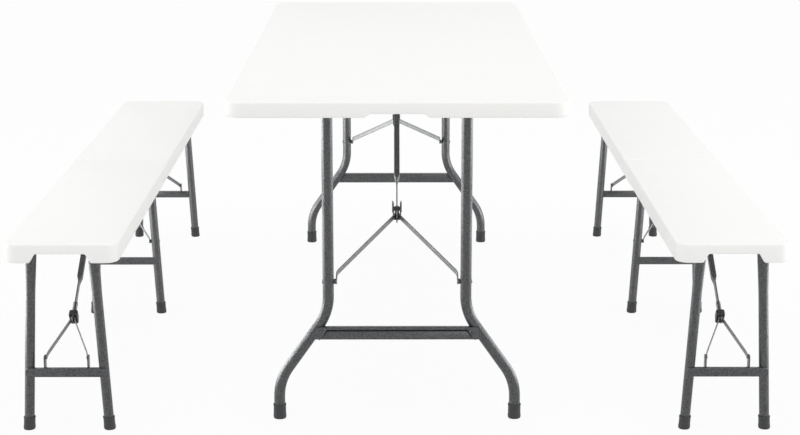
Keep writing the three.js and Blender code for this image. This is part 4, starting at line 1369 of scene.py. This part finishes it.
class MESH_OT_foot_caps(PieceOperator, bpy.types.Operator):
    """Foot caps of all legs"""
    bl_idname = "folding_set.foot_caps"
    bl_label = "Foot caps"

    def execute(self, context):
        settings = context.scene.folding_set
        plastic = polypropylene(settings.finish)
        for prefix in ALL_FRAMES:
            pivot = joint_place(f"{prefix}_leg_fold")
            for hand in HANDS:
                name, node = f"{prefix}_{hand}_cap", f"{prefix}_{hand}_foot_cap"
                low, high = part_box(node)
                middle = (low + high) / 2
                slope = 0
                if prefix in BENCH_FRAMES:
                    spread = math.copysign(settings.bench_frame.leg_spread, middle.x - pivot.x)
                    slope = (pivot.x + spread - middle.x) / (pivot.z - middle.z)
                foot = Vector((middle.x - slope * middle.z, middle.y, 0))
                bm = cap_mesh((high.y - low.y) / 2, high.z)
                mesh = finished_mesh(name, bm, leaning(foot, slope))
                add_piece(name, mesh, plastic, "foot_cap", node, [node])
        return {"FINISHED"}


class MESH_OT_braces(PieceOperator, bpy.types.Operator):
    """Brace arms and forks of the table and the benches, with bushes and knee rivets"""
    bl_idname = "folding_set.braces"
    bl_label = "Folding braces"

    def execute(self, context):
        settings = context.scene.folding_set
        steel, zinc = hammertone_steel(settings.finish), zinc_plate(settings.finish)
        nylon_and_shade, strap = black_nylon_and_shade(settings.finish), strap_steel(settings.finish)
        for prefix in ALL_FRAMES:
            sizes, fork = brace_sizes(settings, prefix), f"{prefix}_brace_fork"
            place, arm_length, reach = brace_place(prefix, sizes.fork_height)
            add_steel(f"{prefix}_arm_tube", arm_mesh(sizes, arm_length), steel, f"{prefix}_brace_arm", place)
            add_steel(f"{prefix}_fork_straps", fork_mesh(sizes, reach), strap, fork, place)
            if sizes.bush_length > 0:
                name = f"{prefix}_fork_bushes"
                mesh = finished_mesh(name, bush_mesh(sizes, reach), place)
                add_piece(name, mesh, nylon_and_shade, "foot_cap", fork)
            heads = rivet_pair(place, sizes.blade_thickness / 2 + GAP + sizes.strap_thickness, 0, 0)
            add_rivets(f"{prefix}_knee_rivets", heads, sizes.knee_radius, sizes.knee_head, zinc, fork)
        return {"FINISHED"}


class MESH_OT_lock_rings(PieceOperator, bpy.types.Operator):
    """Lock rings that slide over the knees of the braces"""
    bl_idname = "folding_set.lock_rings"
    bl_label = "Lock rings"

    def execute(self, context):
        settings = context.scene.folding_set
        steel, nylon_and_shade = phosphated_steel(settings.finish), black_nylon_and_shade(settings.finish)
        for prefix in ALL_FRAMES:
            sizes, node = brace_sizes(settings, prefix), f"{prefix}_lock_ring"
            place, _, _ = brace_place(prefix, sizes.fork_height)
            bm = ring_mesh(sizes)
            if sizes.tab_length > 0:
                ring_tabs(bm, sizes)
            mesh = finished_mesh(f"{prefix}_ring_sleeve", bm, place)
            add_piece(f"{prefix}_ring_sleeve", mesh, steel, "lock_ring", node, [node])
            # Black sheet inside the ring: painted shade that stands in for the shadow in the ring's mouth
            mesh = finished_mesh(f"{prefix}_ring_liner", shade_sheet_mesh(sizes), place)
            add_piece(f"{prefix}_ring_liner", mesh, nylon_and_shade, "lock_ring", node)
        return {"FINISHED"}


# Stage

def studio_floor(scene, colours):
    """Pale floor that is nearly white where it is seen, and keeps the shadows."""
    seen_white, half_size, below = 0.92, 40, mm(-0.5)
    material, tree, shader = new_material("studio_floor_paint")
    clouds = add_node(tree, "ShaderNodeTexNoise", {"Scale": per_metre(700)},
                      {"Vector": add_node(tree, "ShaderNodeTexCoord").outputs["Object"]})
    gloss = add_node(tree, "ShaderNodeMapRange", {"To Min": 0.8, "To Max": 0.9},
                     {"Value": clouds.outputs["Fac"]})
    tree.links.new(gloss.outputs["Result"], shader.inputs["Roughness"])
    shader.inputs["Base Color"].default_value = colours.floor
    shader.inputs["Specular IOR Level"].default_value = 0.1
    white = add_node(tree, "ShaderNodeEmission", {"Color": (1, 1, 1, 1), "Strength": 1.0})
    share = add_node(tree, "ShaderNodeMapRange", {"To Max": seen_white}, {"Value": seen_directly(tree)})
    mixed = add_node(tree, "ShaderNodeMixShader", links={
        0: share.outputs["Result"], 1: shader.outputs["BSDF"], 2: white.outputs["Emission"]})
    tree.links.new(mixed.outputs["Shader"], tree.nodes["Material Output"].inputs["Surface"])
    bm = bmesh.new()
    bmesh.ops.create_grid(bm, x_segments=2, y_segments=2, size=half_size)
    mesh = bpy.data.meshes.new("studio_floor")
    bm.to_mesh(mesh)
    bm.free()
    mesh.materials.append(material)
    floor = bpy.data.objects.new("studio_floor", mesh)
    floor.location.z = below
    scene.collection.objects.link(floor)


def studio_world(scene):
    """White surroundings that light the set a little less than they show."""
    world = bpy.data.worlds.new("white_studio")
    scene.world = world
    world.use_nodes = True
    tree = world.node_tree
    sky = tree.nodes["Background"]
    sky.inputs["Color"].default_value = (1, 1, 1, 1)
    level = add_node(tree, "ShaderNodeMapRange", {"To Min": 0.78, "To Max": 1.0},
                     {"Value": seen_directly(tree)})
    tree.links.new(level.outputs["Result"], sky.inputs["Strength"])


def studio_lamps(scene):
    """Soft boxes, of which all but the overhead one leave out the floor, and edge lights for the steel."""
    pieces = bpy.data.collections.new("lit_pieces")
    steel = bpy.data.collections.new("lit_steel")
    for piece in scene.objects:
        if "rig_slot" in piece:
            pieces.objects.link(piece)
        if piece.get("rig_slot") == "frame_steel":
            steel.objects.link(piece)
    # Name, place and target in metres, width and height in metres, watts, what it lights
    lamps = (("overhead_softbox", (0, -0.4, 4.2), (0, 0, 0), (4.5, 4.5), 41, None),
             ("front_softbox", (1.8, -5.0, 2.6), (0, 0, 0.4), (2, 2), 22, pieces),
             ("left_softbox", (-3.2, -0.3, 0.75), (0, -0.3, 0.6), (3, 1.5), 34, pieces),
             ("right_softbox", (3.2, -0.3, 0.75), (0, -0.3, 0.6), (3, 1.5), 34, pieces),
             ("left_edge_light", (-1.5, 0.1, 0.5), (0, 0.1, 0.5), (2.6, 1), 50, steel),
             ("right_edge_light", (1.5, 0.1, 0.5), (0, 0.1, 0.5), (2.6, 1), 26, steel))
    for name, place, target, size, power, receivers in lamps:
        lamp = bpy.data.lights.new(name, "AREA")
        lamp.shape = "RECTANGLE"
        lamp.size, lamp.size_y = size
        lamp.energy = power
        holder = bpy.data.objects.new(name, lamp)
        holder.location = place
        holder.rotation_euler = (Vector(target) - Vector(place)).to_track_quat("-Z", "Y").to_euler()
        if receivers:
            holder.light_linking.receiver_collection = receivers
        scene.collection.objects.link(holder)


def photo_camera(scene):
    """Camera fitted to the photograph, with its turns in radians."""
    place, pitch, yaw, roll = (mm(-5.6), mm(-4576.5), mm(1382)), 0.238, -0.0032, 0.0002
    data = bpy.data.cameras.new("photo_camera")
    data.sensor_width = 36
    data.lens = 79.4
    data.clip_end = 200
    holder = bpy.data.objects.new("photo_camera", data)
    holder.location = place
    turn = Matrix.Rotation(yaw, 4, "Z") @ Matrix.Rotation(math.pi / 2 - pitch, 4, "X")
    holder.rotation_euler = (turn @ Matrix.Rotation(roll, 4, "Z")).to_euler()
    scene.collection.objects.link(holder)
    scene.camera = holder


class SCENE_OT_stage(PieceOperator, bpy.types.Operator):
    """White studio floor, soft light and the camera"""
    bl_idname = "folding_set.stage"
    bl_label = "Stage"

    def execute(self, context):
        scene = context.scene
        studio_world(scene)
        studio_lamps(scene)
        studio_floor(scene, scene.folding_set.finish)
        photo_camera(scene)
        scene.view_settings.view_transform = "Standard"
        return {"FINISHED"}


class VIEW3D_PT_folding_set(bpy.types.Panel):
    """Lists the pieces of the set"""
    bl_label = "Folding table"
    bl_idname = "VIEW3D_PT_folding_set"
    bl_space_type = "VIEW_3D"
    bl_region_type = "UI"
    bl_category = "Folding table"

    def draw(self, context):
        for operator in OPERATORS:
            self.layout.operator(operator.bl_idname)


GROUPS = (TableTopSizes, SeatSizes, DimpleSizes, TableFrameSizes, BenchFrameSizes, TableBraceSizes,
          EndBraceSizes, MiddleBraceSizes, FinishColours, FoldingSet)
OPERATORS = (MESH_OT_table_top, MESH_OT_table_rails, MESH_OT_table_frames, MESH_OT_bench_seats,
             MESH_OT_bench_frames, MESH_OT_foot_caps, MESH_OT_braces, MESH_OT_lock_rings, SCENE_OT_stage)
CLASSES = (*GROUPS, *OPERATORS, VIEW3D_PT_folding_set)


def register():
    for kind in CLASSES:
        bpy.utils.register_class(kind)
    bpy.types.Scene.folding_set = PointerProperty(type=FoldingSet)


def unregister():
    del bpy.types.Scene.folding_set
    for kind in reversed(CLASSES):
        bpy.utils.unregister_class(kind)


def main():
    register()
    for operator in OPERATORS:
        group, name = operator.bl_idname.split(".")
        getattr(getattr(bpy.ops, group), name)()


if __name__ == "__main__":
    main()
